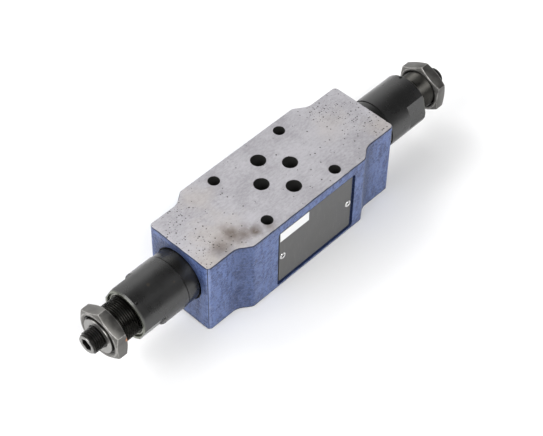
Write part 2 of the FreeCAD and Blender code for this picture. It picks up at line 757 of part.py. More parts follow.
def makeSpring(label, end, start, finish, wire, mean, turns):
    """Coil spring whose wire is drawn as short straight runs with mitred corners."""
    wireSize = valueOf(wire)
    coilRadius = valueOf(mean) / 2
    first = valueOf(start) + wireSize / 2
    rise = valueOf(finish) - wireSize / 2 - first
    runs = round(valueOf(turns) * valueOf("dim.springRunsPerTurn"))
    nodes = []
    for index in range(runs + 1):
        angle = 2 * math.pi * index / valueOf("dim.springRunsPerTurn")
        station = first + rise * index / runs
        nodes.append(FreeCAD.Vector(station, coilRadius * math.cos(angle), coilRadius * math.sin(angle)))
    path = doc.addObject("Part::Polygon", f"{label}Path")
    path.Nodes = nodes
    section = doc.addObject("Part::RegularPolygon", f"{label}Section")
    section.setExpression("Polygon", "dim.springWireSides")
    section.setExpression("Circumradius", f"{wire} / 2")
    heading = FreeCAD.Rotation(FreeCAD.Vector(0, 0, 1), nodes[1] - nodes[0])
    section.Placement = FreeCAD.Placement(nodes[0], heading)
    doc.recompute()
    spring = doc.addObject("Part::Sweep", label)
    spring.Label = label
    spring.Sections = [section]
    spring.Spine = (path, [f"Edge{index + 1}" for index in range(runs)])
    spring.Solid = True
    spring.Transition = "Right corner"
    layAlong(spring, end)


def makePilot(end):
    """Pilot seat pressed into the housing, and the cone that closes it."""
    seat = newBody(f"{end}_pilot_seat")
    counterboreEnd = f"({pilotSeatStart} + dim.pilotCounterboreDepth)"
    revolve(seat, "turned", [
        (pilotSeatStart, "dim.pilotCounterbore / 2"),
        (pilotSeatStart, "dim.pilotSeatOuter / 2"),
        (pilotSeatEnd, "dim.pilotSeatOuter / 2"),
        (pilotSeatEnd, "dim.pilotHole / 2"),
        (counterboreEnd, "dim.pilotHole / 2"),
        (counterboreEnd, "dim.pilotCounterbore / 2"),
    ])
    layAlong(seat, end)
    cone = newBody(f"{end}_pilot_poppet")
    revolve(cone, "turned", [
        (coneTipAt, "0"),
        (coneTipAt, "dim.conePoint / 2"),
        (coneBack, "dim.coneStem / 2"),
        (coneBack, "dim.coneFlange / 2"),
        (flangeBack, "dim.coneFlange / 2"),
        (flangeBack, "dim.coneStem / 2"),
        (f"{flangeBack} + dim.coneStemLength", "dim.coneStem / 2"),
        (f"{flangeBack} + dim.coneStemLength", "0"),
    ])
    layAlong(cone, end)


def makeMainSleeve(end):
    """Ported sleeve: nose with its ring groove, seat, side ports and piston bore."""
    sleeve = newBody(f"{end}_main_sleeve")
    noseStart = f"({noseFloor} + dim.endGap)"
    noseRadius = "(dim.noseBore / 2 - dim.fixedFit)"
    grooveHalf = "(dim.noseSealCord / 2 + dim.fixedFit)"
    grooveFloor = "(dim.noseBore / 2 - dim.noseSealCord)"
    shoulder = f"({noseShoulder} + dim.endGap)"
    reliefEnd = f"({seatStation} + dim.reliefLength)"
    socketRadius = "(dim.spigotOuter / 2 + dim.fixedFit)"
    socketFloor = f"({spigotStart} - dim.seatGap)"
    back = f"({threadStart} - dim.endGap)"
    revolve(sleeve, "turned", [
        (noseStart, "dim.seatBore / 2"),
        (noseStart, noseRadius),
        (f"{noseSealStation} - {grooveHalf}", noseRadius),
        (f"{noseSealStation} - {grooveHalf}", grooveFloor),
        (f"{noseSealStation} + {grooveHalf}", grooveFloor),
        (f"{noseSealStation} + {grooveHalf}", noseRadius),
        (shoulder, noseRadius),
        (shoulder, "dim.sleeveBore / 2 - dim.fixedFit"),
        (waistStation, "dim.sleeveBore / 2 - dim.fixedFit"),
        (waistStation, "dim.sleeveWaist / 2"),
        (back, "dim.sleeveWaist / 2"),
        (back, socketRadius),
        (socketFloor, socketRadius),
        (socketFloor, "dim.pistonBore / 2"),
        (reliefEnd, "dim.pistonBore / 2"),
        (reliefEnd, "dim.reliefBore / 2"),
        (seatStation, "dim.reliefBore / 2"),
        (seatStation, "dim.seatBore / 2"),
    ])
    sidePort = sketchOn(sleeve, "sidePortCircle", "XY_Plane")
    addCircle(sidePort, sidePortStation, "0", "dim.sidePortBore")
    cut = extrude(sleeve, "sidePort", sidePort, "PartDesign::Pocket", "dim.sleeveBore", True)
    repeatRound(sleeve, "sidePorts", cut, "X_Axis", "dim.sidePortCount")
    layAlong(sleeve, end)
    addRing(
        f"{end}_nose_seal", end,
        f"{noseSealStation} - dim.noseSealCord / 2", f"{noseSealStation} + dim.noseSealCord / 2",
        f"{grooveFloor} + dim.sealSlack", "dim.noseBore / 2 - dim.sealSlack",
    )


def makeMainPiston(end):
    """Hollow piston with a cone at its tip and a fine orifice through the tip."""
    piston = newBody(f"{end}_main_piston")
    waist = "dim.pistonWaist / 2"
    land = "(dim.pistonBore / 2 - dim.slideFit)"
    landStart = f"({pistonEnd} - dim.pistonLand)"
    revolve(piston, "turned", [
        (pistonTipAt, "dim.pistonOrifice / 2"),
        (pistonTipAt, "dim.pistonTip / 2"),
        (f"{pistonTipAt} + (dim.pistonWaist - dim.pistonTip) / 2", waist),
        (landStart, waist),
        (landStart, land),
        (pistonEnd, land),
        (pistonEnd, "dim.pistonHollow / 2"),
        (pistonFloorAt, "dim.pistonHollow / 2"),
        (pistonFloorAt, "dim.pistonOrifice / 2"),
    ])
    layAlong(piston, end)


def makeThreadSeal(end):
    """Ring between the collar's undercut and the chamfer of the body's mouth."""
    back = f"({collarSeat} - dim.seatGap)"
    addRing(
        f"{end}_thread_seal", end, f"{back} - dim.threadSealCord", back,
        "dim.sealUndercut / 2 + dim.sealSlack", "dim.bodyThread / 2 - dim.sealSlack",
    )


for end in ("a", "b"):
    makeHousing(end)
    makeStopRing(end)
    makeBush(end)
    makeStem(end)
    makeNut(end)
    makeSpringPlate(end)
    makeSpring(
        f"{end}_pilot_spring", end, flangeBack, plateFront,
        "dim.pilotSpringWire", "dim.pilotSpringMean", "dim.pilotSpringTurns",
    )
    makePilot(end)
    makeMainSleeve(end)
    makeMainPiston(end)
    makeSpring(
        f"{end}_main_spring", end, pistonFloorAt, pilotSeatStart,
        "dim.mainSpringWire", "dim.mainSpringMean", "dim.mainSpringTurns",
    )
    makeThreadSeal(end)

doc.recompute()

# Every object is checked before anything is written
for item in doc.Objects:
    faults = [word for word in item.State if word in ("Invalid", "Error")]
    if faults:
        raise RuntimeError(f"{item.Label} is {faults}")
    if item.TypeId in ("PartDesign::Pocket", "PartDesign::Groove", "PartDesign::Hole"):
        if item.Shape.Volume >= item.BaseFeature.Shape.Volume - 1e-6:
            raise RuntimeError(f"{item.Label} of {item.BaseFeature.Label} cuts nothing")

pieces = [item for item in doc.Objects if item.TypeId in ("PartDesign::Body", "Part::Sweep")]
os.makedirs("parts", exist_ok=True)
for piece in pieces:
    shape = piece.Shape
    if shape.isNull() or not shape.isValid() or len(shape.Solids) != 1:
        raise RuntimeError(f"{piece.Label} is not one valid solid")
for piece in pieces:
    piece.Shape.exportStep(f"parts/{piece.Label}.step")
    print(piece.Label, round(piece.Shape.Volume, 1))
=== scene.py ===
import math
import bmesh
import bpy
from mathutils import Matrix, Vector


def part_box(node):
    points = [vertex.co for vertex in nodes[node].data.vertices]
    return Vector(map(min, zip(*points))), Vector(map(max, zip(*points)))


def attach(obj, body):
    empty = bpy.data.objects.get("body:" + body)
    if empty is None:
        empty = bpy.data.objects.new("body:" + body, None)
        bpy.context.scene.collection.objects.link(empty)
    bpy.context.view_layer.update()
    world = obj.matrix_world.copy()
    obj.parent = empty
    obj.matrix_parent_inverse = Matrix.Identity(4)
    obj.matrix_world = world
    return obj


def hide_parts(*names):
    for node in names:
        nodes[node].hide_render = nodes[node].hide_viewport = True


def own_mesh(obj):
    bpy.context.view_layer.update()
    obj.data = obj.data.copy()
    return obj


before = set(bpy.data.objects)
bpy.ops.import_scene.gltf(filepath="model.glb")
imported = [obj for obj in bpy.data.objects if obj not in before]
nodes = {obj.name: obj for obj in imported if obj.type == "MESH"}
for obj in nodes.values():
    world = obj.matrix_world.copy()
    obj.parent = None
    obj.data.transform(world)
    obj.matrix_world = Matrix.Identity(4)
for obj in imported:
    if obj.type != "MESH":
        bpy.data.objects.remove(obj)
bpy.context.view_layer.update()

scene = bpy.context.scene
mm = 0.001
print("frame loaded:", len(nodes), "nodes")

# the valve's main sizes in millimetres, as the frame has them
valve = {"height": 40, "axisHeight": 23.4, "bodyEnd": 56.7, "neckHalf": 17.25}
axisHeight = valve["axisHeight"] * mm


class tree:  # a node tree that is filled by short calls
    def __init__(self, group):
        self.group = group

    def add(self, kind, inputs=None, **settings):
        node = self.group.nodes.new(kind)
        for name, value in settings.items():
            setattr(node, name, value)
        for name, value in (inputs or {}).items():
            self.feed(node.inputs[name], value)
        return node

    def feed(self, socket, value):
        if hasattr(value, "is_output"):
            self.group.links.new(value, socket)
        elif hasattr(value, "bl_idname"):
            self.group.links.new(value.outputs[0], socket)
        elif value is not None:
            socket.default_value = value

    def math(self, operation, first, second=None, third=None, clamp=False):
        node = self.add("ShaderNodeMath", operation=operation, use_clamp=clamp)
        for socket, value in zip(node.inputs, (first, second, third)):
            self.feed(socket, value)
        return node.outputs[0]

    def times(self, first, second):
        return self.math("MULTIPLY", first, second)

    def plus(self, first, second):
        return self.math("ADD", first, second)

    def minus(self, first, second, clamp=False):
        return self.math("SUBTRACT", first, second, clamp=clamp)

    def least(self, first, second):
        return self.math("MINIMUM", first, second)

    def most(self, first, *others):
        for other in others:
            first = self.math("MAXIMUM", first, other)
        return first

    def ramp(self, value, low, high, start=0.0, finish=1.0):  # smooth step from low to high
        node = self.add("ShaderNodeMapRange", interpolation_type="SMOOTHSTEP")
        for name, number in (("From Min", low), ("From Max", high), ("To Min", start), ("To Max", finish)):
            self.feed(node.inputs[name], number)
        self.feed(node.inputs["Value"], value)
        return node.outputs["Result"]

    def step(self, value, places, start=0.0, finish=1.0):  # the same between two places in millimetres
        return self.ramp(value, places[0] * mm, places[1] * mm, start, finish)

    def mix(self, factor, first, second):
        node = self.add("ShaderNodeMix", data_type="RGBA")
        self.feed(node.inputs[0], factor)
        self.feed(node.inputs[6], first)
        self.feed(node.inputs[7], second)
        return node.outputs[2]

    def blend(self, factor, first, second):  # the same for numbers
        node = self.add("ShaderNodeMix", data_type="FLOAT")
        self.feed(node.inputs[0], factor)
        self.feed(node.inputs[2], first)
        self.feed(node.inputs[3], second)
        return node.outputs[0]

    def noise(self, vector, scale, detail=3.0, roughness=0.55):
        node = self.add("ShaderNodeTexNoise")
        for name, value in (("Vector", vector), ("Scale", scale), ("Detail", detail), ("Roughness", roughness)):
            self.feed(node.inputs[name], value)
        return node.outputs["Fac"]

    def scaled(self, vector, factors):
        node = self.add("ShaderNodeMapping", {"Vector": vector})
        node.inputs["Scale"].default_value = factors
        return node.outputs[0]

    def place(self, kind, values):  # a group node with its inputs set
        node = self.add("ShaderNodeGroup", node_tree=kind)
        for name, value in values.items():
            self.feed(node.inputs[name], value)
        return node.outputs


def colour(red, green, blue):
    return (red, green, blue, 1.0)


def newGroup(name, inputs, outputs, kind="ShaderNodeTree"):  # an empty node group with its sockets
    group = bpy.data.node_groups.new(name, kind)
    for socketName, socketKind in outputs:
        group.interface.new_socket(name=socketName, in_out="OUTPUT", socket_type=socketKind)
    for socketName, socketKind, value in inputs:
        socket = group.interface.new_socket(name=socketName, in_out="INPUT", socket_type=socketKind)
        if value is not None:
            socket.default_value = value
    work = tree(group)
    return group, work, work.add("NodeGroupInput").outputs, work.add("NodeGroupOutput").inputs


def buildSurfaceGrain():  # blotches of tone, fine grain and sparse specks
    group, work, given, result = newGroup(
        "surfaceGrain",
        [("Vector", "NodeSocketVector", None), ("Blotch Scale", "NodeSocketFloat", 120.0),
         ("Grain Scale", "NodeSocketFloat", 1500.0), ("Speck Scale", "NodeSocketFloat", 700.0),
         ("Speck Share", "NodeSocketFloat", 0.05)],
        [("Tone", "NodeSocketFloat"), ("Grain", "NodeSocketFloat"), ("Speck", "NodeSocketFloat")],
    )
    blotch = work.noise(given["Vector"], given["Blotch Scale"], 4.0)
    grain = work.noise(given["Vector"], given["Grain Scale"], 2.0)
    cells = work.add("ShaderNodeTexVoronoi", {"Vector": given["Vector"], "Scale": given["Speck Scale"]})
    lot = work.add("ShaderNodeSeparateColor", {"Color": cells.outputs["Color"]})
    chosen = work.math("LESS_THAN", lot.outputs["Red"], given["Speck Share"])
    reach = work.math("MULTIPLY_ADD", lot.outputs["Green"], 0.26, 0.12)
    dot = work.ramp(work.minus(reach, cells.outputs["Distance"]), 0.0, 0.10)
    work.feed(result["Tone"], work.ramp(blotch, 0.3, 0.7))
    work.feed(result["Grain"], grain)
    work.feed(result["Speck"], work.times(chosen, dot))
    return group


def buildTurnedLines():  # fine rings that a lathe leaves round the cartridges' axis
    group, work, given, result = newGroup(
        "turnedLines",
        [("Vector", "NodeSocketVector", None), ("Line Scale", "NodeSocketFloat", 2600.0)],
        [("Lines", "NodeSocketFloat"), ("Radius", "NodeSocketFloat"), ("Out", "NodeSocketFloat")],
    )
    parts = work.add("ShaderNodeSeparateXYZ", {"Vector": given["Vector"]})
    rise = work.minus(parts.outputs["Z"], axisHeight)
    square = work.plus(work.math("POWER", parts.outputs["Y"], 2.0), work.math("POWER", rise, 2.0))
    radius = work.math("SQRT", square)
    ringPlace = work.add("ShaderNodeCombineXYZ", {"X": parts.outputs["X"], "Y": radius})
    work.feed(result["Lines"], work.noise(ringPlace, given["Line Scale"], 1.0))
    work.feed(result["Radius"], radius)
    work.feed(result["Out"], work.math("ABSOLUTE", parts.outputs["X"]))
    return group


def buildRaggedSpot():  # a soft patch with a ragged border round one point
    group, work, given, result = newGroup(
        "raggedSpot",
        [("Vector", "NodeSocketVector", None), ("Centre", "NodeSocketVector", None),
         ("Size", "NodeSocketFloat", 0.005), ("Softness", "NodeSocketFloat", 0.003),
         ("Ragged", "NodeSocketFloat", 0.004), ("Ragged Scale", "NodeSocketFloat", 200.0)],
        [("Mask", "NodeSocketFloat")],
    )
    away = work.add("ShaderNodeVectorMath", operation="DISTANCE")
    work.feed(away.inputs[0], given["Vector"])
    work.feed(away.inputs[1], given["Centre"])
    swing = work.minus(work.noise(given["Vector"], given["Ragged Scale"], 5.0, 0.65), 0.5)
    ragged = work.plus(away.outputs["Value"], work.times(swing, work.times(given["Ragged"], 2.0)))
    inner = work.minus(given["Size"], given["Softness"])
    work.feed(result["Mask"], work.minus(1.0, work.ramp(ragged, inner, given["Size"])))
    return group


surfaceGrain = buildSurfaceGrain()
turnedLines = buildTurnedLines()
raggedSpot = buildRaggedSpot()


def newMaterial(name):
    material = bpy.data.materials.new(name)
    material.use_nodes = True
    work = tree(material.node_tree)
    shader = material.node_tree.nodes["Principled BSDF"]
    return material, work, shader, work.add("ShaderNodeTexCoord").outputs["Object"]


def addBump(work, shader, height, distance, strength=1.0):
    bump = work.add("ShaderNodeBump", {"Height": height, "Distance": distance, "Strength": strength})
    work.feed(shader.inputs["Normal"], bump)


def spots(work, place, centres, softness, ragged, scale):  # the strongest of several ragged spots
    whole = None
    for x, y, z, size, strength in centres:
        mask = work.place(raggedSpot, {
            "Vector": place, "Centre": (x * mm, y * mm, z * mm), "Size": size * mm,
            "Softness": size * mm * softness, "Ragged": size * mm * ragged, "Ragged Scale": scale,
        })["Mask"]
        mask = work.times(mask, strength)
        whole = mask if whole is None else work.most(whole, mask)
    return whole


def newGeometryTree(name, inputs):
    return newGroup(name, inputs, [("Geometry", "NodeSocketGeometry")], "GeometryNodeTree")


def closeTree(work, result, geometry, finish):  # every tree ends in real geometry with its finish
    real = work.add("GeometryNodeRealizeInstances", {"Geometry": geometry})
    work.feed(result["Geometry"], work.add("GeometryNodeSetMaterial", {"Geometry": real, "Material": finish}))


def spiral(work, radius, turns, run, resolution):
    return work.add("GeometryNodeCurveSpiral", {
        "Resolution": resolution, "Rotations": turns, "Start Radius": radius, "End Radius": radius, "Height": run,
    })


def roundWire(work, path, radius, sides):  # round wire along a path
    section = work.add("GeometryNodeCurvePrimitiveCircle", {"Resolution": sides, "Radius": radius})
    return work.add("GeometryNodeCurveToMesh", {"Curve": path, "Profile Curve": section, "Fill Caps": True})


def runTree(name, group, values):  # the tree's result as a plain mesh
    carrier = bpy.data.objects.new(name + "Carrier", bpy.data.meshes.new(name + "Carrier"))
    scene.collection.objects.link(carrier)
    modifier = carrier.modifiers.new("tree", "NODES")
    modifier.node_group = group
    for item in group.interface.items_tree:
        if item.item_type == "SOCKET" and item.in_out == "INPUT" and item.name in values:
            modifier[item.identifier] = values[item.name]
    carrier.update_tag()
    graph = bpy.context.evaluated_depsgraph_get()
    mesh = bpy.data.meshes.new_from_object(carrier.evaluated_get(graph))
    bpy.data.objects.remove(carrier)
    mesh.name = name
    return mesh


def shadeByAngle(mesh, degrees):
    mesh.shade_smooth()
    bm = bmesh.new()
    bm.from_mesh(mesh)
    for edge in bm.edges:
        edge.smooth = len(edge.link_faces) == 2 and edge.calc_face_angle(0.0) < math.radians(degrees)
    bm.to_mesh(mesh)
    bm.free()


def linkPiece(name, mesh, body, slotName, *replaced):
    piece = bpy.data.objects.new(name, mesh)
    scene.collection.objects.link(piece)
    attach(piece, body)
    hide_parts(*replaced)
    return piece


def alongAxis(side, station):  # turns a shape made round Z to lie on a cartridge's axis
    turn = Matrix.Rotation(math.radians(90), 4, "Y")
    if side < 0:
        turn = Matrix.Rotation(math.pi, 4, "Z") @ turn
    return Matrix.Translation((side * station * mm, 0, axisHeight)) @ turn


def lathe(bm, profile, steps, side):  # (station, radius) points in millimetres, turned round the axis
    rings = []
    for station, radius in profile:
        ring = []
        for index in range(steps if radius > 0.0001 else 1):
            angle = 2 * math.pi * index / steps
            ring.append(bm.verts.new((
                side * station * mm, radius * mm * math.cos(angle), axisHeight + radius * mm * math.sin(angle)
            )))
        rings.append(ring)
    for first, second in zip(rings, rings[1:]):
        for index in range(steps):
            after = (index + 1) % steps
            corners = [first[index % len(first)], first[after % len(first)],
                       second[after % len(second)], second[index % len(second)]]
            unique = list(dict.fromkeys(corners))
            if len(unique) > 2:
                bm.faces.new(unique)
    return rings


def meshFrom(bm, name):
    mesh = bpy.data.meshes.new(name)
    bm.to_mesh(mesh)
    bm.free()
    return mesh


def oneFinish(mesh, finish):
    mesh.materials.append(finish)
    for polygon in mesh.polygons:
        polygon.material_index = 0
    return mesh


def threadedMesh(name, bm, ridge, finish, look):  # a turned barrel and its ridge as one mesh
    bmesh.ops.recalc_face_normals(bm, faces=bm.faces)
    bm.from_mesh(ridge)
    mesh = oneFinish(meshFrom(bm, name), finish)
    shadeByAngle(mesh, look["smoothUpTo"])
    return mesh


castIron = {
    "paint": colour(0.118, 0.172, 0.365), "paintDeep": colour(0.036, 0.060, 0.165),
    # the navy is painted shade in the shoulders, under the ground faces, round the plate and by the collars, and it
    # is also the pits' colour
    "shadeAndPitNavy": colour(0.006, 0.014, 0.050), "paintWornAndHighlit": colour(0.22, 0.27, 0.45),
    "ground": colour(0.465, 0.455, 0.48), "groundDark": colour(0.315, 0.305, 0.325),
    "beige": colour(0.49, 0.435, 0.375), "stain": colour(0.085, 0.058, 0.042),
    "bore": colour(0.030, 0.030, 0.028), "pore": colour(0.035, 0.030, 0.025),
    # where the painted skin begins: y of the wide sides, x and y of the necks, x and radius at the ends
    "wideSideFrom": 19.2, "neckFrom": 25.5, "neckSideFrom": 16.5, "endFrom": 56.4, "spotFaceRadius": 12.78,
    # where each zone goes from nothing to full; groundFrom and rimFrom count from half the height
    "groundFrom": (19.76, 19.88), "rimFrom": (18.95, 19.40),
    "shoulderIn": (31.0, 37.5), "shoulderOut": (48.0, 38.5), "shoulderSide": (16.0, 16.6),
    "recessFloor": (-19.8, -19.9), "recessMouth": (-21.42, -21.30), "recessEnd": (30.0, 29.5),
    "collarRadius": (19.5, 13.2), "collarEnd": (56.2, 56.5), "collarRise": (19.0, 29.0),
    "cornerWearAndHighlight": (2.2, 1.5), "poresTowardEnds": (26.0, 50.0),
    # shoulderShade, rimShade, recessShade and collarShade are strengths of painted shade
    "shoulderShade": 0.45, "rimShade": 0.95, "recessShade": 0.85, "collarShade": 0.75, "pitShade": 0.8,
    "wearAndHighlightShade": 0.6, "tingeShade": 0.6, "poreShade": 0.9,
    "poreShare": 0.025, "poreShareAtEnds": 0.42, "poreScale": 980.0, "metallic": 0.4,
    "paintRoughness": (0.30, 0.44), "groundRoughness": (0.50, 0.66),
    # the swing of the paint's border and the heights of the relief
    "borderSwing": 0.5,
    "lumps": 0.62, "drawMarks": 0.28, "pitDepth": 0.22, "scratches": 0.008, "poreDepth": 0.16,
    # x, y, z, size in millimetres and strength
    "stains": [
        (-36.2, -10.2, 40, 7.0, 0.80), (-28.8, -16.6, 40, 6.6, 1.0), (-22.6, -18.4, 40, 5.6, 0.75),
        (-44.8, -13.0, 40, 7.2, 0.72), (-33.0, -14.2, 40, 8.5, 0.75), (-40.5, -11.0, 40, 7.0, 0.45),
    ],
    "beigeAreas": [
        (-34, 13, 40, 11, 0.5), (-40, -8, 40, 17, 0.7), (53, -13, 40, 11, 0.6), (-52, -14, 40, 11, 0.7),
        (38, 4, 40, 13, 0.35),
    ],
    "poreClusters": [
        (39.6, 10.5, 40, 7.5, 1.0), (46, 7.5, 40, 6.0, 0.8), (50, -5, 40, 6.5, 0.8), (-51, -4, 40, 8.0, 0.5),
        (-46, 13, 40, 6, 0.5),
    ],
    "pitClusters": [(-33.5, -18.0, 28, 3.2, 0.9), (-41.0, -17.4, 31.5, 3.0, 0.9), (-37.5, -17.6, 29.5, 3.4, 0.8)],
}


def buildPaintedIron(look):
    material, work, shader, place = newMaterial("paintedIron")
    parts = work.add("ShaderNodeSeparateXYZ", {"Vector": place})
    y, z = parts.outputs["Y"], parts.outputs["Z"]
    turned = work.place(turnedLines, {"Vector": place})
    farX, farY = turned["Out"], work.math("ABSOLUTE", y)
    # the painted skin: the long sides, the necks and the ends outside the cartridges' spot faces
    wideSide = work.minus(farY, look["wideSideFrom"] * mm)
    neckSide = work.least(work.minus(farX, look["neckFrom"] * mm), work.minus(farY, look["neckSideFrom"] * mm))
    outsideSpotFace = work.minus(turned["Radius"], look["spotFaceRadius"] * mm)
    endFace = work.least(work.minus(farX, look["endFrom"] * mm), outsideSpotFace)
    painted = work.ramp(work.most(wideSide, neckSide, endFace), 0.0, 0.0001)
    # the ground faces, with an uneven border to the paint
    border = work.times(work.minus(work.noise(place, 260.0, 4.0), 0.5), look["borderSwing"] * mm)
    level = work.math("ABSOLUTE", work.minus(z, valve["height"] * mm / 2))
    edgeLevel = work.plus(level, border)
    ground = work.step(edgeLevel, look["groundFrom"])
    bare = work.most(ground, work.minus(1.0, painted))
    grain = work.place(surfaceGrain, {
        "Vector": place, "Blotch Scale": 95.0, "Grain Scale": 900.0, "Speck Scale": 560.0, "Speck Share": 0.045,
    })
    # paint with painted shade: darker in the shoulders' hollows, under the ground faces, round the plate and by the
    # collars, there most above the axis
    runs = work.noise(work.scaled(place, (1.0, 1.0, 0.38)), 420.0, 4.0, 0.65)
    speckle = work.noise(place, 860.0, 3.0, 0.7)
    mottle = work.ramp(work.plus(work.times(runs, 0.5), work.times(speckle, 0.5)), 0.40, 0.58)
    paint = work.mix(mottle, look["paintDeep"], look["paint"])
    shoulder = work.times(work.step(farX, look["shoulderIn"]), work.step(farX, look["shoulderOut"]))
    shoulder = work.times(shoulder, work.step(farY, look["shoulderSide"]))
    paint = work.mix(work.times(shoulder, look["shoulderShade"]), paint, look["shadeAndPitNavy"])
    rim = work.step(edgeLevel, look["rimFrom"])
    recess = work.times(work.step(y, look["recessFloor"]), work.step(y, look["recessMouth"]))
    recess = work.times(recess, work.step(farX, look["recessEnd"]))
    collar = work.times(work.step(turned["Radius"], look["collarRadius"]), work.step(farX, look["collarEnd"]))
    collar = work.times(collar, work.step(z, look["collarRise"], 0.0, look["collarShade"]))
    shade = work.most(work.times(rim, look["rimShade"]), work.times(recess, look["recessShade"]), collar)
    paint = work.mix(shade, paint, look["shadeAndPitNavy"])
    # small pits in the front neck, and lighter paint on the upright corners: worn paint and a painted highlight
    pits = spots(work, place, look["pitClusters"], 0.5, 0.5, 420.0)
    pitCells = work.place(surfaceGrain, {
        "Vector": work.scaled(place, (1.0, 1.0, 0.6)), "Speck Scale": 640.0, "Speck Share": work.times(pits, 0.55),
    })
    pit = work.most(pitCells["Speck"], grain["Speck"])
    paint = work.mix(work.times(pit, look["pitShade"]), paint, look["shadeAndPitNavy"])
    # the upright corners: worn paint and a painted highlight along the edge
    cornerRun = work.plus(work.minus(valve["bodyEnd"] * mm, farX), work.minus(valve["neckHalf"] * mm, farY))
    unevenRun = work.plus(cornerRun, work.times(work.noise(place, 420.0, 4.0), 0.0012))
    wornAndHighlit = work.step(unevenRun, look["cornerWearAndHighlight"])
    paint = work.mix(work.times(wornAndHighlit, look["wearAndHighlightShade"]), paint, look["paintWornAndHighlit"])
    # ground metal: cloudy and faintly brushed, with a beige tinge and brown stains
    brushed = work.noise(work.scaled(place, (0.45, 1.0, 1.0)), 1100.0, 4.0, 0.7)
    cloud = work.noise(place, 62.0, 5.0, 0.62)
    cloudy = work.ramp(work.plus(work.times(cloud, 0.5), work.times(brushed, 0.5)), 0.34, 0.62)
    metal = work.mix(cloudy, look["groundDark"], look["ground"])
    metal = work.mix(work.times(work.ramp(speckle, 0.50, 0.72), 0.22), metal, look["groundDark"])
    tinge = spots(work, place, look["beigeAreas"], 0.95, 0.9, 110.0)
    metal = work.mix(work.times(tinge, look["tingeShade"]), metal, look["beige"])
    stainMottle = work.ramp(work.noise(place, 260.0, 4.0, 0.65), 0.34, 0.56, 0.62, 1.0)
    stain = work.times(spots(work, place, look["stains"], 0.95, 0.85, 130.0), stainMottle)
    metal = work.mix(stain, metal, look["stain"])
    # casting pores, more of them towards the ends and in clusters
    towardEnds = work.step(farX, look["poresTowardEnds"])
    share = work.math("MULTIPLY_ADD", towardEnds, look["poreShareAtEnds"] * 0.55, look["poreShare"])
    clusters = spots(work, place, look["poreClusters"], 0.7, 0.5, 200.0)
    share = work.plus(share, work.times(clusters, look["poreShareAtEnds"]))
    cells = work.add("ShaderNodeTexVoronoi", {"Vector": place, "Scale": look["poreScale"]}, voronoi_dimensions="2D")
    lot = work.add("ShaderNodeSeparateColor", {"Color": cells.outputs["Color"]}).outputs
    poreReach = work.math("MULTIPLY_ADD", work.math("POWER", lot["Green"], 2.0), 0.26, 0.14)
    pore = work.ramp(work.minus(poreReach, cells.outputs["Distance"]), 0.0, 0.08)
    pore = work.times(pore, work.math("LESS_THAN", lot["Red"], share))
    metal = work.mix(work.times(pore, look["poreShade"]), metal, look["pore"])
    base = work.mix(painted, look["bore"], paint)
    work.feed(shader.inputs["Base Color"], work.mix(ground, base, metal))
    dull = work.most(work.times(pore, 0.9), work.times(stain, 0.7))
    metallic = work.times(bare, work.minus(1.0, work.times(dull, ground), clamp=True))
    work.feed(shader.inputs["Metallic"], work.times(metallic, look["metallic"]))
    paintRough = work.ramp(runs, 0.3, 0.7, *look["paintRoughness"])
    groundRough = work.ramp(brushed, 0.2, 0.8, *look["groundRoughness"])
    work.feed(shader.inputs["Roughness"], work.blend(bare, paintRough, groundRough))
    # relief: the cast skin with upright draw marks under the paint, scratches and pores on ground metal
    lumps = work.noise(place, 620.0, 4.0, 0.65)
    ridges = work.noise(work.scaled(place, (1.0, 1.0, 0.25)), 520.0, 3.0)
    castHeight = work.plus(work.times(lumps, look["lumps"] * mm), work.times(ridges, look["drawMarks"] * mm))
    castHeight = work.minus(castHeight, work.times(pit, look["pitDepth"] * mm))
    groundHeight = work.minus(work.times(brushed, look["scratches"] * mm), work.times(pore, look["poreDepth"] * mm))
    addBump(work, shader, work.blend(bare, castHeight, groundHeight), 1.0, 0.9)
    return material


# the plate carries one bare light strip in its upper left corner; places in millimetres
plateLook = {
    "field": colour(0.085, 0.085, 0.083), "fieldWorn": colour(0.125, 0.124, 0.120),
    "strip": colour(0.86, 0.86, 0.85), "left": -18.9, "top": 33.6,
    "stripInset": 0.35, "stripLength": 17.6, "stripHeight": 5.4, "stripEdge": 0.12,
    "metallic": 0.25, "roughness": (0.30, 0.44),
}


def buildPlatePrint(look):
    material, work, shader, place = newMaterial("platePrint")
    parts = work.add("ShaderNodeSeparateXYZ", {"Vector": place})
    across = work.minus(parts.outputs["X"], (look["left"] + look["stripInset"]) * mm)
    down = work.minus((look["top"] - look["stripInset"]) * mm, parts.outputs["Z"])
    insideX = work.least(across, work.minus(look["stripLength"] * mm, across))
    insideZ = work.least(down, work.minus(look["stripHeight"] * mm, down))
    strip = work.step(work.least(insideX, insideZ), (0.0, look["stripEdge"]))
    grain = work.place(surfaceGrain, {
        "Vector": place, "Blotch Scale": 110.0, "Grain Scale": 2400.0, "Speck Scale": 520.0, "Speck Share": 0.02,
    })
    scratch = work.noise(work.scaled(place, (1.0, 1.0, 0.06)), 2600.0, 2.0)
    field = work.mix(work.ramp(scratch, 0.55, 0.78), look["field"], look["fieldWorn"])
    field = work.mix(work.times(grain["Tone"], 0.5), field, look["fieldWorn"])
    field = work.mix(strip, field, look["strip"])
    field = work.mix(work.times(grain["Speck"], 0.35), field, look["fieldWorn"])
    work.feed(shader.inputs["Base Color"], field)
    work.feed(shader.inputs["Metallic"], work.times(work.minus(1.0, strip), look["metallic"]))
    work.feed(shader.inputs["Roughness"], work.ramp(grain["Tone"], 0.0, 1.0, *look["roughness"]))
    addBump(work, shader, grain["Grain"], 0.000010)
    return material


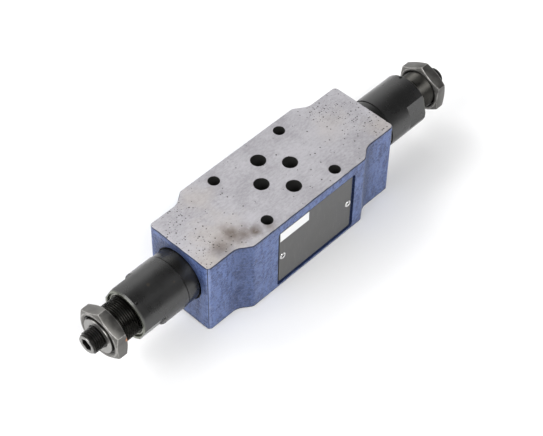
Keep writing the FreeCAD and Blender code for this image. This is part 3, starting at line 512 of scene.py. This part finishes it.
# zones go from nothing to full, in millimetres from the middle of the valve, recessRadius from the axis
sleeveLook = {
    "black": colour(0.005, 0.005, 0.0045), "grey": colour(0.018, 0.018, 0.018),
    "collar": colour(0.002, 0.002, 0.0015), "bare": colour(0.21, 0.22, 0.185),
    "brown": colour(0.045, 0.036, 0.025),
    "collarUpTo": (63.3, 63.1), "endBand": (87.05, 87.09), "rubbedAndHighlitEnd": (86.70, 87.40), "rubbedAndHighlitShade": 0.25,
    "recessFrom": (85.5, 85.6), "recessRadius": (10.72, 10.66),
    "metallic": 0.08, "bareMetallic": 0.95, "refraction": 1.7, "roughness": 0.24,
}


def buildSleeveBlack(look):  # the housings: satin black oxide, bare metal in the end's recess
    material, work, shader, place = newMaterial("sleeveBlack")
    turned = work.place(turnedLines, {"Vector": place, "Line Scale": 1900.0})
    grain = work.place(surfaceGrain, {
        "Vector": place, "Blotch Scale": 70.0, "Grain Scale": 1300.0, "Speck Scale": 420.0, "Speck Share": 0.035,
    })
    out = turned["Out"]
    lightness = work.math("MULTIPLY_ADD", grain["Tone"], 0.45, work.times(turned["Lines"], 0.4))
    tone = work.mix(lightness, look["black"], look["grey"])
    tone = work.mix(work.times(grain["Speck"], 0.5), tone, look["brown"])
    # darker on the collar next to the body: oil, and painted shade
    tone = work.mix(work.step(out, look["collarUpTo"]), tone, look["collar"])
    endBand = work.step(out, look["endBand"])
    # the end's chamfer is partly bare and lighter: rubbed metal and a painted highlight
    unevenOut = work.plus(out, work.times(work.noise(place, 520.0, 4.0), 0.0008))
    rubbedAndHighlit = work.times(work.step(unevenOut, look["rubbedAndHighlitEnd"]), look["rubbedAndHighlitShade"])
    inRecess = work.times(work.step(out, look["recessFrom"]), work.step(turned["Radius"], look["recessRadius"]))
    bare = work.most(endBand, inRecess, rubbedAndHighlit)
    work.feed(shader.inputs["Base Color"], work.mix(bare, tone, look["bare"]))
    work.feed(shader.inputs["Metallic"], work.blend(bare, look["metallic"], look["bareMetallic"]))
    shader.inputs["IOR"].default_value = look["refraction"]
    rough = work.math("MULTIPLY_ADD", grain["Tone"], 0.08, look["roughness"])
    work.feed(shader.inputs["Roughness"], work.plus(rough, work.times(bare, 0.1)))
    height = work.math("MULTIPLY_ADD", turned["Lines"], 0.5, work.times(grain["Grain"], 0.5))
    addBump(work, shader, work.minus(height, grain["Speck"]), 0.000012)
    return material


def buildTurnedSteel(name, look):  # plain turned steel, with its outer end face in a tone of its own
    material, work, shader, place = newMaterial(name)
    turned = work.place(turnedLines, {"Vector": place})
    speckShare = look.get("speckShare", 0.03)
    grain = work.place(surfaceGrain, {"Vector": place, "Speck Scale": 800.0, "Speck Share": speckShare})
    tone = work.mix(grain["Tone"], look["dark"], look["light"])
    tone = work.mix(work.times(turned["Lines"], 0.5), tone, look["dark"])
    if "face" in look:
        onFace = work.step(turned["Out"], (look["faceAt"] - 0.1, look["faceAt"] + 0.1))
        tone = work.mix(onFace, tone, look["face"])
    tone = work.mix(work.times(grain["Speck"], 0.5), tone, look.get("speck", look["dark"]))
    work.feed(shader.inputs["Base Color"], tone)
    shader.inputs["Metallic"].default_value = look.get("metallic", 1.0)
    swing = 0.06
    rough = work.ramp(grain["Tone"], 0.0, 1.0, look["roughness"] - swing, look["roughness"] + swing)
    work.feed(shader.inputs["Roughness"], rough)
    height = work.math("MULTIPLY_ADD", turned["Lines"], 0.7, work.times(grain["Grain"], 0.3))
    addBump(work, shader, height, 0.000012)
    return material


def buildThreadTree():  # a helical ridge
    group, work, given, result = newGeometryTree("threadRidge", [
        ("Root Radius", "NodeSocketFloat", 0.0083), ("Pitch", "NodeSocketFloat", 0.001),
        ("Turns", "NodeSocketFloat", 10.0), ("Ridge Height", "NodeSocketFloat", 0.0006),
        ("Ridge Width", "NodeSocketFloat", 0.0009), ("Steps Per Turn", "NodeSocketInt", 64),
        ("Finish", "NodeSocketMaterial", None),
    ])
    run = work.times(given["Pitch"], given["Turns"])
    helix = spiral(work, given["Root Radius"], given["Turns"], run, given["Steps Per Turn"])
    upright = work.add("GeometryNodeSetCurveNormal", {"Curve": helix}, mode="Z_UP")
    half = work.times(given["Ridge Width"], 0.5)
    inward = work.times(given["Ridge Height"], -0.15)
    crest = given["Ridge Height"]
    section = work.add("GeometryNodeCurvePrimitiveQuadrilateral", mode="POINTS")
    for index, (share, height) in enumerate(((-1.0, inward), (1.0, inward), (0.16, crest), (-0.16, crest))):
        corner = work.add("ShaderNodeCombineXYZ", {"X": work.times(half, share), "Y": height})
        work.feed(section.inputs[f"Point {index + 1}"], corner)
    ridge = work.add("GeometryNodeCurveToMesh", {"Curve": upright, "Profile Curve": section, "Fill Caps": True})
    closeTree(work, result, ridge, given["Finish"])
    return group


threadTree = buildThreadTree()


def threadRidge(name, side, look, finish):
    turns = (look["end"] - look["endBevel"] - look["threadStart"]) / look["pitch"] - look["ridgeTrim"]
    ridge = runTree(name, threadTree, {
        "Root Radius": look["coreRadius"] * mm, "Pitch": look["pitch"] * mm, "Turns": turns,
        "Ridge Height": (look["crestRadius"] - look["coreRadius"]) * mm, "Ridge Width": look["pitch"] * mm * 0.98,
        "Steps Per Turn": look["ridgeSteps"], "Finish": finish,
    })
    ridge.transform(alongAxis(side, look["threadStart"] + look["ridgeLead"]))
    return ridge


# stations in millimetres from the middle of the valve; the ridge starts late enough to clear the housing
bushLook = {
    "dark": colour(0.016, 0.0155, 0.014), "light": colour(0.055, 0.053, 0.048),
    "face": colour(0.25, 0.245, 0.235), "faceAt": 101.75, "roughness": 0.30, "metallic": 0.9,
    "coreRadius": 8.36, "crestRadius": 8.94, "pilotRadius": 6.95, "pilotStart": 73.0, "pilotBevel": 0.6,
    "threadStart": 80.0, "end": 102.0, "pitch": 1.0, "endBevel": 0.75, "endDrop": 0.20,
    "boreRadius": 5.04, "boreDepth": 17.0, "mouthBevel": 0.55, "coreBevel": 0.1, "flare": 0.05,
    "ridgeLead": 0.6, "ridgeTrim": 0.9, "ridgeSteps": 72, "steps": 96, "smoothUpTo": 25,
}


def makeBush(end, side):
    look = bushLook
    ridge = threadRidge(f"{end}BushRidge", side, look, materials["bush"])
    bm = bmesh.new()
    core, bore = look["coreRadius"], look["boreRadius"]
    lathe(bm, [
        (look["pilotStart"], 0), (look["pilotStart"], look["pilotRadius"] - look["pilotBevel"]),
        (look["pilotStart"] + look["pilotBevel"], look["pilotRadius"]), (look["threadStart"], look["pilotRadius"]),
        (look["threadStart"], core - look["coreBevel"]), (look["threadStart"] + look["coreBevel"], core),
        (look["end"] - look["endBevel"], core + look["flare"]), (look["end"], core - look["endDrop"]),
        (look["end"], bore + look["mouthBevel"]), (look["end"] - look["mouthBevel"], bore),
        (look["end"] - look["boreDepth"], bore), (look["end"] - look["boreDepth"], 0),
    ], look["steps"], side)
    mesh = threadedMesh(f"{end}_adjusting_bush_threaded", bm, ridge, materials["bush"], look)
    linkPiece(mesh.name, mesh, f"{end}_adjuster", "bush_steel", f"{end}_adjusting_bush")


stemLook = {
    "dark": colour(0.014, 0.014, 0.013), "light": colour(0.040, 0.038, 0.036),
    "face": colour(0.22, 0.217, 0.21), "faceAt": 107.75, "roughness": 0.32, "metallic": 0.85,
    "speck": colour(0.20, 0.19, 0.18), "speckShare": 0.10,
    "coreRadius": 4.50, "crestRadius": 4.99, "threadStart": 85.0, "end": 108.0, "pitch": 1.0,
    "endBevel": 0.9, "endDrop": 0.45, "footBevel": 0.5, "footDrop": 0.3,
    "socketAcross": 5.0, "socketDepth": 5.5, "socketLead": 0.35,
    "ridgeLead": 0.8, "ridgeTrim": 1.2, "ridgeSteps": 56, "steps": 96, "smoothUpTo": 25,
}


def makeStem(end, side):
    look = stemLook
    ridge = threadRidge(f"{end}StemRidge", side, look, materials["stem"])
    bm = bmesh.new()
    core, steps = look["coreRadius"], look["steps"]
    outer = lathe(bm, [
        (look["threadStart"], 0), (look["threadStart"], core - look["footDrop"]),
        (look["threadStart"] + look["footBevel"], core),
        (look["end"] - look["endBevel"] * 0.7, core), (look["end"], core - look["endDrop"]),
    ], steps, side)[-1]

    def hexRing(station, across):  # the socket's outline, one point for each step of the barrel
        ring = []
        for vert in outer:
            angle = math.atan2(vert.co.z - axisHeight, vert.co.y)
            sector = (angle + math.pi / 6) % (math.pi / 3) - math.pi / 6
            radius = across / 2 / math.cos(sector) * mm
            ring.append(bm.verts.new((
                side * station * mm, radius * math.cos(angle), axisHeight + radius * math.sin(angle)
            )))
        return ring

    lead = look["socketLead"]
    rings = [
        outer, hexRing(look["end"], look["socketAcross"] + 2 * lead),
        hexRing(look["end"] - lead, look["socketAcross"]),
        hexRing(look["end"] - look["socketDepth"], look["socketAcross"]),
    ]
    for first, second in zip(rings, rings[1:]):
        for index in range(steps):
            after = (index + 1) % steps
            bm.faces.new((first[index], first[after], second[after], second[index]))
    bm.faces.new(rings[-1])
    mesh = threadedMesh(f"{end}_hex_stem_threaded", bm, ridge, materials["stem"], look)
    linkPiece(mesh.name, mesh, f"{end}_adjuster", "stem_steel", f"{end}_hex_stem")


nutLook = {
    # rim is the rounded rims' colour: worn metal with a painted highlight
    "dark": colour(0.095, 0.092, 0.086), "light": colour(0.185, 0.180, 0.170), "rim": colour(0.36, 0.35, 0.335),
    "rust": colour(0.50, 0.17, 0.035), "metallic": 0.9, "roughness": (0.34, 0.46),
    # x, y, z, size in millimetres and strength
    "rustSpots": [(-95.6, -10.9, 26.0, 1.5, 1.0), (-95.5, -10.4, 23.6, 1.0, 0.8)],
    # the rubbed rim: its width, and the angle in degrees and the radius from which an edge gets one
    "rimWidth": 0.26, "rimSharpness": 18, "rimFrom": 10.0, "mergeWithin": 0.002, "flatUpTo": 1.5, "smoothUpTo": 30,
}


def buildNutSteel(look):
    material, work, shader, place = newMaterial("nutSteel")
    turned = work.place(turnedLines, {"Vector": place})
    grain = work.place(surfaceGrain, {
        "Vector": place, "Blotch Scale": 150.0, "Speck Scale": 900.0, "Speck Share": 0.08,
    })
    tone = work.mix(grain["Tone"], look["dark"], look["light"])
    tone = work.mix(work.times(turned["Lines"], 0.3), tone, look["dark"])
    tone = work.mix(work.times(grain["Speck"], 0.5), tone, look["dark"])
    # the rounded rims are lighter: worn metal and a painted highlight
    rim = work.add("ShaderNodeAttribute", attribute_name="rimWearAndHighlight").outputs["Fac"]
    rubbedAndHighlit = work.times(rim, work.ramp(work.noise(place, 600.0, 3.0), 0.30, 0.60, 0.15, 0.8))
    tone = work.mix(rubbedAndHighlit, tone, look["rim"])
    rust = spots(work, place, look["rustSpots"], 0.5, 0.6, 900.0)
    work.feed(shader.inputs["Base Color"], work.mix(rust, tone, look["rust"]))
    work.feed(shader.inputs["Metallic"], work.minus(look["metallic"], rust, clamp=True))
    work.feed(shader.inputs["Roughness"], work.ramp(grain["Tone"], 0.0, 1.0, *look["roughness"]))
    height = work.math("MULTIPLY_ADD", grain["Grain"], 0.5, work.times(rust, 1.5))
    addBump(work, shader, height, 0.00002)
    return material


def makeNut(end):  # the frame's nut with its outer edges rubbed round, and bright with wear and a painted highlight
    look = nutLook
    name = f"{end}_lock_nut"
    bm = bmesh.new()
    bm.from_mesh(nodes[name].data)
    bmesh.ops.remove_doubles(bm, verts=bm.verts, dist=look["mergeWithin"] * mm)
    flat = math.radians(look["flatUpTo"])
    bmesh.ops.dissolve_limit(bm, angle_limit=flat, verts=bm.verts, edges=bm.edges)
    bmesh.ops.recalc_face_normals(bm, faces=bm.faces)

    def isRim(edge):
        if len(edge.link_faces) != 2 or edge.calc_face_angle(0.0) <= math.radians(look["rimSharpness"]):
            return False
        return min(math.hypot(vert.co.y, vert.co.z - axisHeight) for vert in edge.verts) > look["rimFrom"] * mm

    outer = [edge for edge in bm.edges if isRim(edge)]
    wearAndHighlight = bm.faces.layers.float.new("rimWearAndHighlight")
    rounded = bmesh.ops.bevel(
        bm, geom=outer, offset=look["rimWidth"] * mm, segments=2, profile=0.5, affect="EDGES", clamp_overlap=True
    )
    for face in rounded["faces"]:
        face[wearAndHighlight] = 1.0
    mesh = oneFinish(meshFrom(bm, f"{name}_rubbed"), materials["nut"])
    shadeByAngle(mesh, look["smoothUpTo"])
    linkPiece(mesh.name, mesh, f"{end}_nut", "nut_steel", name)


ringLook = {
    "dark": colour(0.30, 0.30, 0.27), "light": colour(0.46, 0.46, 0.42), "roughness": 0.28,
    "middleRadius": 9.6, "wire": 0.68, "station": 86.05, "sweep": 335.0,
}


def buildWireRingTree():  # an open ring of round wire
    group, work, given, result = newGeometryTree("wireRing", [
        ("Middle Radius", "NodeSocketFloat", 0.0096), ("Wire Radius", "NodeSocketFloat", 0.00034),
        ("Sweep", "NodeSocketFloat", 5.8), ("Finish", "NodeSocketMaterial", None),
    ])
    arc = work.add("GeometryNodeCurveArc", {
        "Resolution": 120, "Radius": given["Middle Radius"], "Sweep Angle": given["Sweep"],
    })
    closeTree(work, result, roundWire(work, arc, given["Wire Radius"], 14), given["Finish"])
    return group


wireRingTree = buildWireRingTree()


def makeStopRing(end, side):
    look = ringLook
    mesh = runTree(f"{end}_stop_ring_wire", wireRingTree, {
        "Middle Radius": look["middleRadius"] * mm, "Wire Radius": look["wire"] * mm / 2,
        "Sweep": math.radians(look["sweep"]), "Finish": materials["ring"],
    })
    mesh.transform(alongAxis(side, look["station"]))
    mesh.shade_smooth()
    linkPiece(mesh.name, mesh, "valve", "ring_steel", f"{end}_stop_ring")


# wires, mean diameters and travels in millimetres; play is what a coil shortens beyond its neighbour's travel
springLook = {
    "dark": colour(0.10, 0.10, 0.11), "light": colour(0.22, 0.22, 0.23), "roughness": 0.32,
    "pilotWire": 1.3, "pilotMean": 9.2, "pilotTurns": 6, "pilotInnerTurns": 2, "plateTravel": 6.0, "coneTravel": 1.5,
    "mainWire": 0.7, "mainMean": 5.6, "mainTurns": 7, "pistonTravel": 3.0, "play": 0.04,
}


def buildCoilTree():  # a spring of round wire
    group, work, given, result = newGeometryTree("springCoil", [
        ("Mean Radius", "NodeSocketFloat", 0.0046), ("Wire Radius", "NodeSocketFloat", 0.00065),
        ("Turns", "NodeSocketFloat", 6.0), ("Run", "NodeSocketFloat", 0.016), ("Finish", "NodeSocketMaterial", None),
    ])
    helix = spiral(work, given["Mean Radius"], given["Turns"], given["Run"], 36)
    closeTree(work, result, roundWire(work, helix, given["Wire Radius"], 12), given["Finish"])
    return group


coilTree = buildCoilTree()


def makeSprings(end, side):  # smooth coils between the pieces at their ends
    look = springLook

    def reach(node):  # the spring's inner and outer end, in metres from the middle of the valve
        low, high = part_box(node)
        return sorted((abs(low[0]), abs(high[0])))

    def coil(name, kind, start, finish, turns, node):  # wire centres run from start to finish
        mesh = runTree(name, coilTree, {
            "Mean Radius": look[f"{kind}Mean"] * mm / 2, "Wire Radius": look[f"{kind}Wire"] * mm / 2,
            "Turns": turns, "Run": finish - start, "Finish": materials["spring"],
        })
        mesh.transform(alongAxis(side, start / mm))
        mesh.shade_smooth()
        return linkPiece(name, mesh, "valve", "spring_steel", node)

    def shorten(piece):
        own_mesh(piece)

    # moving pieces hold the pilot spring at both ends; it is made as two coils, its inner turns and its outer turns
    node = f"{end}_pilot_spring"
    inner, outer = reach(node)
    half = look["pilotWire"] * mm / 2
    innerTurns, outerTurns = look["pilotInnerTurns"], look["pilotTurns"] - look["pilotInnerTurns"]
    split = inner + half + (outer - inner - 2 * half) / look["pilotTurns"] * innerTurns
    innerCoil = coil(f"{node}_inner_turns", "pilot", inner + half, split, innerTurns, node)
    outerCoil = coil(f"{node}_outer_turns", "pilot", split, outer - half, outerTurns, node)
    shorten(innerCoil)
    shorten(outerCoil)
    # the main spring rests on the fixed pilot seat
    node = f"{end}_main_spring"
    inner, outer = reach(node)
    half = look["mainWire"] * mm / 2
    mainCoil = coil(f"{node}_coil", "main", inner + half, outer - half, look["mainTurns"], node)
    shorten(mainCoil)


# headHeight is how far the frame's heads stand on the plate, rise is how far the dressed ones do
rivetLook = {
    "bright": colour(0.86, 0.86, 0.85), "dull": colour(0.60, 0.60, 0.59), "dimpleShade": colour(0.01, 0.01, 0.01),
    "metallic": 0.85, "roughness": (0.22, 0.36),
    "headRadius": 1.7, "dimpleRadius": 0.8, "headHeight": 0.9, "rise": 0.45,
}


def buildRivetBright(look):
    material, work, shader, place = newMaterial("rivetBright")
    grain = work.place(surfaceGrain, {"Vector": place, "Blotch Scale": 900.0, "Grain Scale": 3000.0})
    # the black disc in each dimple is painted shade
    dimpleShade = work.add("ShaderNodeAttribute", attribute_name="dimpleShade").outputs["Fac"]
    head = work.mix(grain["Tone"], look["dull"], look["bright"])
    work.feed(shader.inputs["Base Color"], work.mix(dimpleShade, head, look["dimpleShade"]))
    work.feed(shader.inputs["Metallic"], work.minus(look["metallic"], dimpleShade, clamp=True))
    work.feed(shader.inputs["Roughness"], work.ramp(grain["Tone"], 0.0, 1.0, *look["roughness"]))
    addBump(work, shader, grain["Grain"], 0.00001)
    return material


def buildRivetTree():  # rivet heads in a row: a rounded ring round a black disc, painted shade in the dimple's deep hole
    group, work, given, result = newGeometryTree("rivetHeads", [
        ("Count", "NodeSocketInt", 2), ("First", "NodeSocketVector", None), ("Step", "NodeSocketVector", None),
        ("Head Radius", "NodeSocketFloat", 0.0017), ("Dimple Radius", "NodeSocketFloat", 0.00055),
        ("Head Height", "NodeSocketFloat", 0.0009), ("Finish", "NodeSocketMaterial", None),
    ])
    tube = work.times(work.minus(given["Head Radius"], given["Dimple Radius"]), 0.5)
    middle = work.plus(given["Dimple Radius"], tube)
    circle = work.add("GeometryNodeCurvePrimitiveCircle", {"Resolution": 48, "Radius": middle})
    section = work.add("GeometryNodeCurvePrimitiveCircle", {"Resolution": 24, "Radius": tube})
    ring = work.add("GeometryNodeCurveToMesh", {"Curve": circle, "Profile Curve": section})
    flatten = work.math("DIVIDE", given["Head Height"], tube)
    stretch = work.add("ShaderNodeCombineXYZ", {"X": 1.0, "Y": 1.0, "Z": flatten})
    ring = work.add("GeometryNodeTransform", {"Geometry": ring, "Scale": stretch})
    discRadius = work.times(given["Dimple Radius"], 1.5)
    disc = work.add("GeometryNodeMeshCircle", {"Vertices": 48, "Radius": discRadius}, fill_type="NGON")
    lift = work.add("ShaderNodeCombineXYZ", {"Z": work.times(given["Head Height"], 0.4)})
    disc = work.add("GeometryNodeTransform", {"Geometry": disc, "Translation": lift})
    marked = work.add(
        "GeometryNodeStoreNamedAttribute", {"Geometry": disc, "Name": "dimpleShade", "Value": 1.0},
        data_type="FLOAT", domain="POINT",
    )
    head = work.add("GeometryNodeJoinGeometry")
    work.feed(head.inputs["Geometry"], ring)
    work.feed(head.inputs["Geometry"], marked)
    points = work.add("GeometryNodeMeshLine", {
        "Count": given["Count"], "Start Location": given["First"], "Offset": given["Step"],
    })
    tilt = work.add("FunctionNodeEulerToRotation", {"Euler": (math.radians(90), 0.0, 0.0)})
    row = work.add("GeometryNodeInstanceOnPoints", {"Points": points, "Instance": head, "Rotation": tilt})
    closeTree(work, result, row, given["Finish"])
    return group


rivetTree = buildRivetTree()


def makePlateRivets():
    look = rivetLook
    left, right = (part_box(f"plate_rivet_{side}") for side in ("left", "right"))
    first, second = ((Vector(low) + Vector(high)) / 2 for low, high in (left, right))
    plateFace = left[0][1] + look["headHeight"] * mm
    for point in (first, second):
        point.y = plateFace
    mesh = runTree("plate_rivet_heads", rivetTree, {
        "Count": 2, "First": first, "Step": second - first, "Head Radius": look["headRadius"] * mm,
        "Dimple Radius": look["dimpleRadius"] * mm, "Head Height": look["rise"] * mm, "Finish": materials["rivet"],
    })
    mesh.shade_smooth()
    linkPiece(mesh.name, mesh, "valve", "rivet_steel", "plate_rivet_left", "plate_rivet_right")


sealLook = {"black": colour(0.012, 0.012, 0.012), "grey": colour(0.03, 0.03, 0.03), "roughness": (0.5, 0.65)}


def buildSealRubber(look):
    material, work, shader, place = newMaterial("sealRubber")
    grain = work.place(surfaceGrain, {"Vector": place})
    work.feed(shader.inputs["Base Color"], work.mix(grain["Tone"], look["black"], look["grey"]))
    work.feed(shader.inputs["Roughness"], work.ramp(grain["Tone"], 0.0, 1.0, *look["roughness"]))
    addBump(work, shader, grain["Grain"], 0.00002)
    return material


innerLook = {"dark": colour(0.30, 0.30, 0.29), "light": colour(0.46, 0.45, 0.44), "roughness": 0.25}

materials = {
    "iron": buildPaintedIron(castIron),
    "plate": buildPlatePrint(plateLook),
    "sleeve": buildSleeveBlack(sleeveLook),
    "nut": buildNutSteel(nutLook),
    "rivet": buildRivetBright(rivetLook),
    "rubber": buildSealRubber(sealLook),
    "bush": buildTurnedSteel("bushBlack", bushLook),
    "stem": buildTurnedSteel("stemBlack", stemLook),
    "ring": buildTurnedSteel("ringWire", ringLook),
    "inner": buildTurnedSteel("groundSteel", innerLook),
    "spring": buildTurnedSteel("springWire", springLook),
}
print("materials built:", len(materials))

# which finish each node of the frame carries
nodeFinish = {
    "valve_body": "iron", "type_plate": "plate", "plate_rivet_left": "rivet", "plate_rivet_right": "rivet",
    "port_seal_p": "rubber", "port_seal_t": "rubber", "port_seal_a": "rubber", "port_seal_b": "rubber",
}
cartridgeFinish = {
    "housing": "sleeve", "stop_ring": "ring", "adjusting_bush": "bush", "hex_stem": "stem", "lock_nut": "nut",
    "thread_seal": "rubber", "main_sleeve": "inner", "nose_seal": "rubber", "main_piston": "inner",
    "main_spring": "spring", "pilot_seat": "inner", "pilot_poppet": "inner", "pilot_spring": "spring",
    "spring_plate": "inner", "plate_seal": "rubber",
}
for end in "ab":
    nodeFinish.update({f"{end}_{piece}": finish for piece, finish in cartridgeFinish.items()})
for name, finish in nodeFinish.items():
    for slot in nodes[name].material_slots:
        slot.material = materials[finish]
print("finishes given to", len(nodeFinish), "nodes")

for end, side in (("a", -1), ("b", 1)):
    makeBush(end, side)
    makeStem(end, side)
    makeNut(end)
    makeStopRing(end, side)
    makeSprings(end, side)
print("cartridges dressed")
makePlateRivets()
print("plate rivets set")

# the camera stands where the photograph was taken from; angles in degrees, lengths in metres
shot = {
    "azimuth": -47.21, "elevation": 48.97, "roll": 1.23, "focalPixels": 1547.6, "distance": 0.6518,
    "aimRight": 0.00078, "aimUp": 0.01852, "photoWidth": 543, "sensor": 36.0,
    "patternCentre": (-0.00075, 0.0, 0.040), "halfPixel": 0.5,
}


def placeCamera(look):
    azimuth, elevation, roll = (math.radians(look[name]) for name in ("azimuth", "elevation", "roll"))
    back = Vector((
        math.sin(azimuth) * math.cos(elevation), -math.cos(azimuth) * math.cos(elevation), math.sin(elevation)
    ))
    right = Vector((0, 0, 1)).cross(back).normalized()
    up = back.cross(right)
    right, up = right * math.cos(roll) + up * math.sin(roll), up * math.cos(roll) - right * math.sin(roll)
    data = bpy.data.cameras.new("photoCamera")
    data.sensor_width = look["sensor"]
    data.lens = look["focalPixels"] * look["sensor"] / look["photoWidth"]
    data.shift_x = -look["halfPixel"] / look["photoWidth"]
    data.shift_y = look["halfPixel"] / look["photoWidth"]
    data.clip_start = 0.01
    data.clip_end = 20.0
    camera = bpy.data.objects.new("photoCamera", data)
    place = Vector(look["patternCentre"]) - right * look["aimRight"] - up * look["aimUp"] + back * look["distance"]
    camera.matrix_world = Matrix((
        (right.x, up.x, back.x, place.x), (right.y, up.y, back.y, place.y),
        (right.z, up.z, back.z, place.z), (0, 0, 0, 1),
    ))
    scene.collection.objects.link(camera)
    scene.camera = camera


placeCamera(shot)

# pale floor and soft studio light; each light has its place, size and power
studio = {
    "floorColour": colour(0.96, 0.96, 0.96), "floorRoughness": 0.9, "floorHalf": 3.0, "floorDrop": 0.0002,
    "horizonColour": colour(1.0, 1.0, 1.0), "frontSkyColour": colour(0.10, 0.10, 0.105),
    "lights": [
        ("keyLight", (-0.30, -0.95, 1.05), 0.8, 14.0),
        ("fillLight", (-1.0, 0.20, 0.8), 0.8, 9.0),
        ("backLight", (-0.15, 1.05, 1.0), 0.8, 9.0),
    ],
}


def buildStudio(look):
    mesh = bpy.data.meshes.new("studioFloor")
    half = look["floorHalf"]
    mesh.from_pydata([(-half, -half, 0), (half, -half, 0), (half, half, 0), (-half, half, 0)], [], [(0, 1, 2, 3)])
    material, work, shader, place = newMaterial("floorPaper")
    shader.inputs["Base Color"].default_value = look["floorColour"]
    shader.inputs["Roughness"].default_value = look["floorRoughness"]
    mesh.materials.append(material)
    floor = bpy.data.objects.new("studioFloor", mesh)
    floor.location.z = -look["floorDrop"]
    scene.collection.objects.link(floor)
    world = bpy.data.worlds.new("studioWorld")
    world.use_nodes = True
    sky = tree(world.node_tree)
    way = sky.add("ShaderNodeSeparateXYZ", {"Vector": sky.add("ShaderNodeTexCoord").outputs["Generated"]}).outputs
    # the sky is dimmest high in front, where the black sleeves mirror it
    upward = sky.minus(sky.times(way["Z"], 0.85), sky.times(way["Y"], 0.45))
    shade = sky.mix(sky.ramp(upward, 0.05, 0.78), look["horizonColour"], look["frontSkyColour"])
    sky.feed(world.node_tree.nodes["Background"].inputs["Color"], shade)
    scene.world = world
    for name, place, size, power in look["lights"]:
        data = bpy.data.lights.new(name, "AREA")
        data.shape = "SQUARE"
        data.size = size
        data.energy = power
        light = bpy.data.objects.new(name, data)
        light.location = place
        light.rotation_euler = (-Vector(place)).to_track_quat("-Z", "Y").to_euler()
        scene.collection.objects.link(light)
    scene.view_settings.view_transform = "Standard"


buildStudio(studio)
print("camera, floor and lights set")
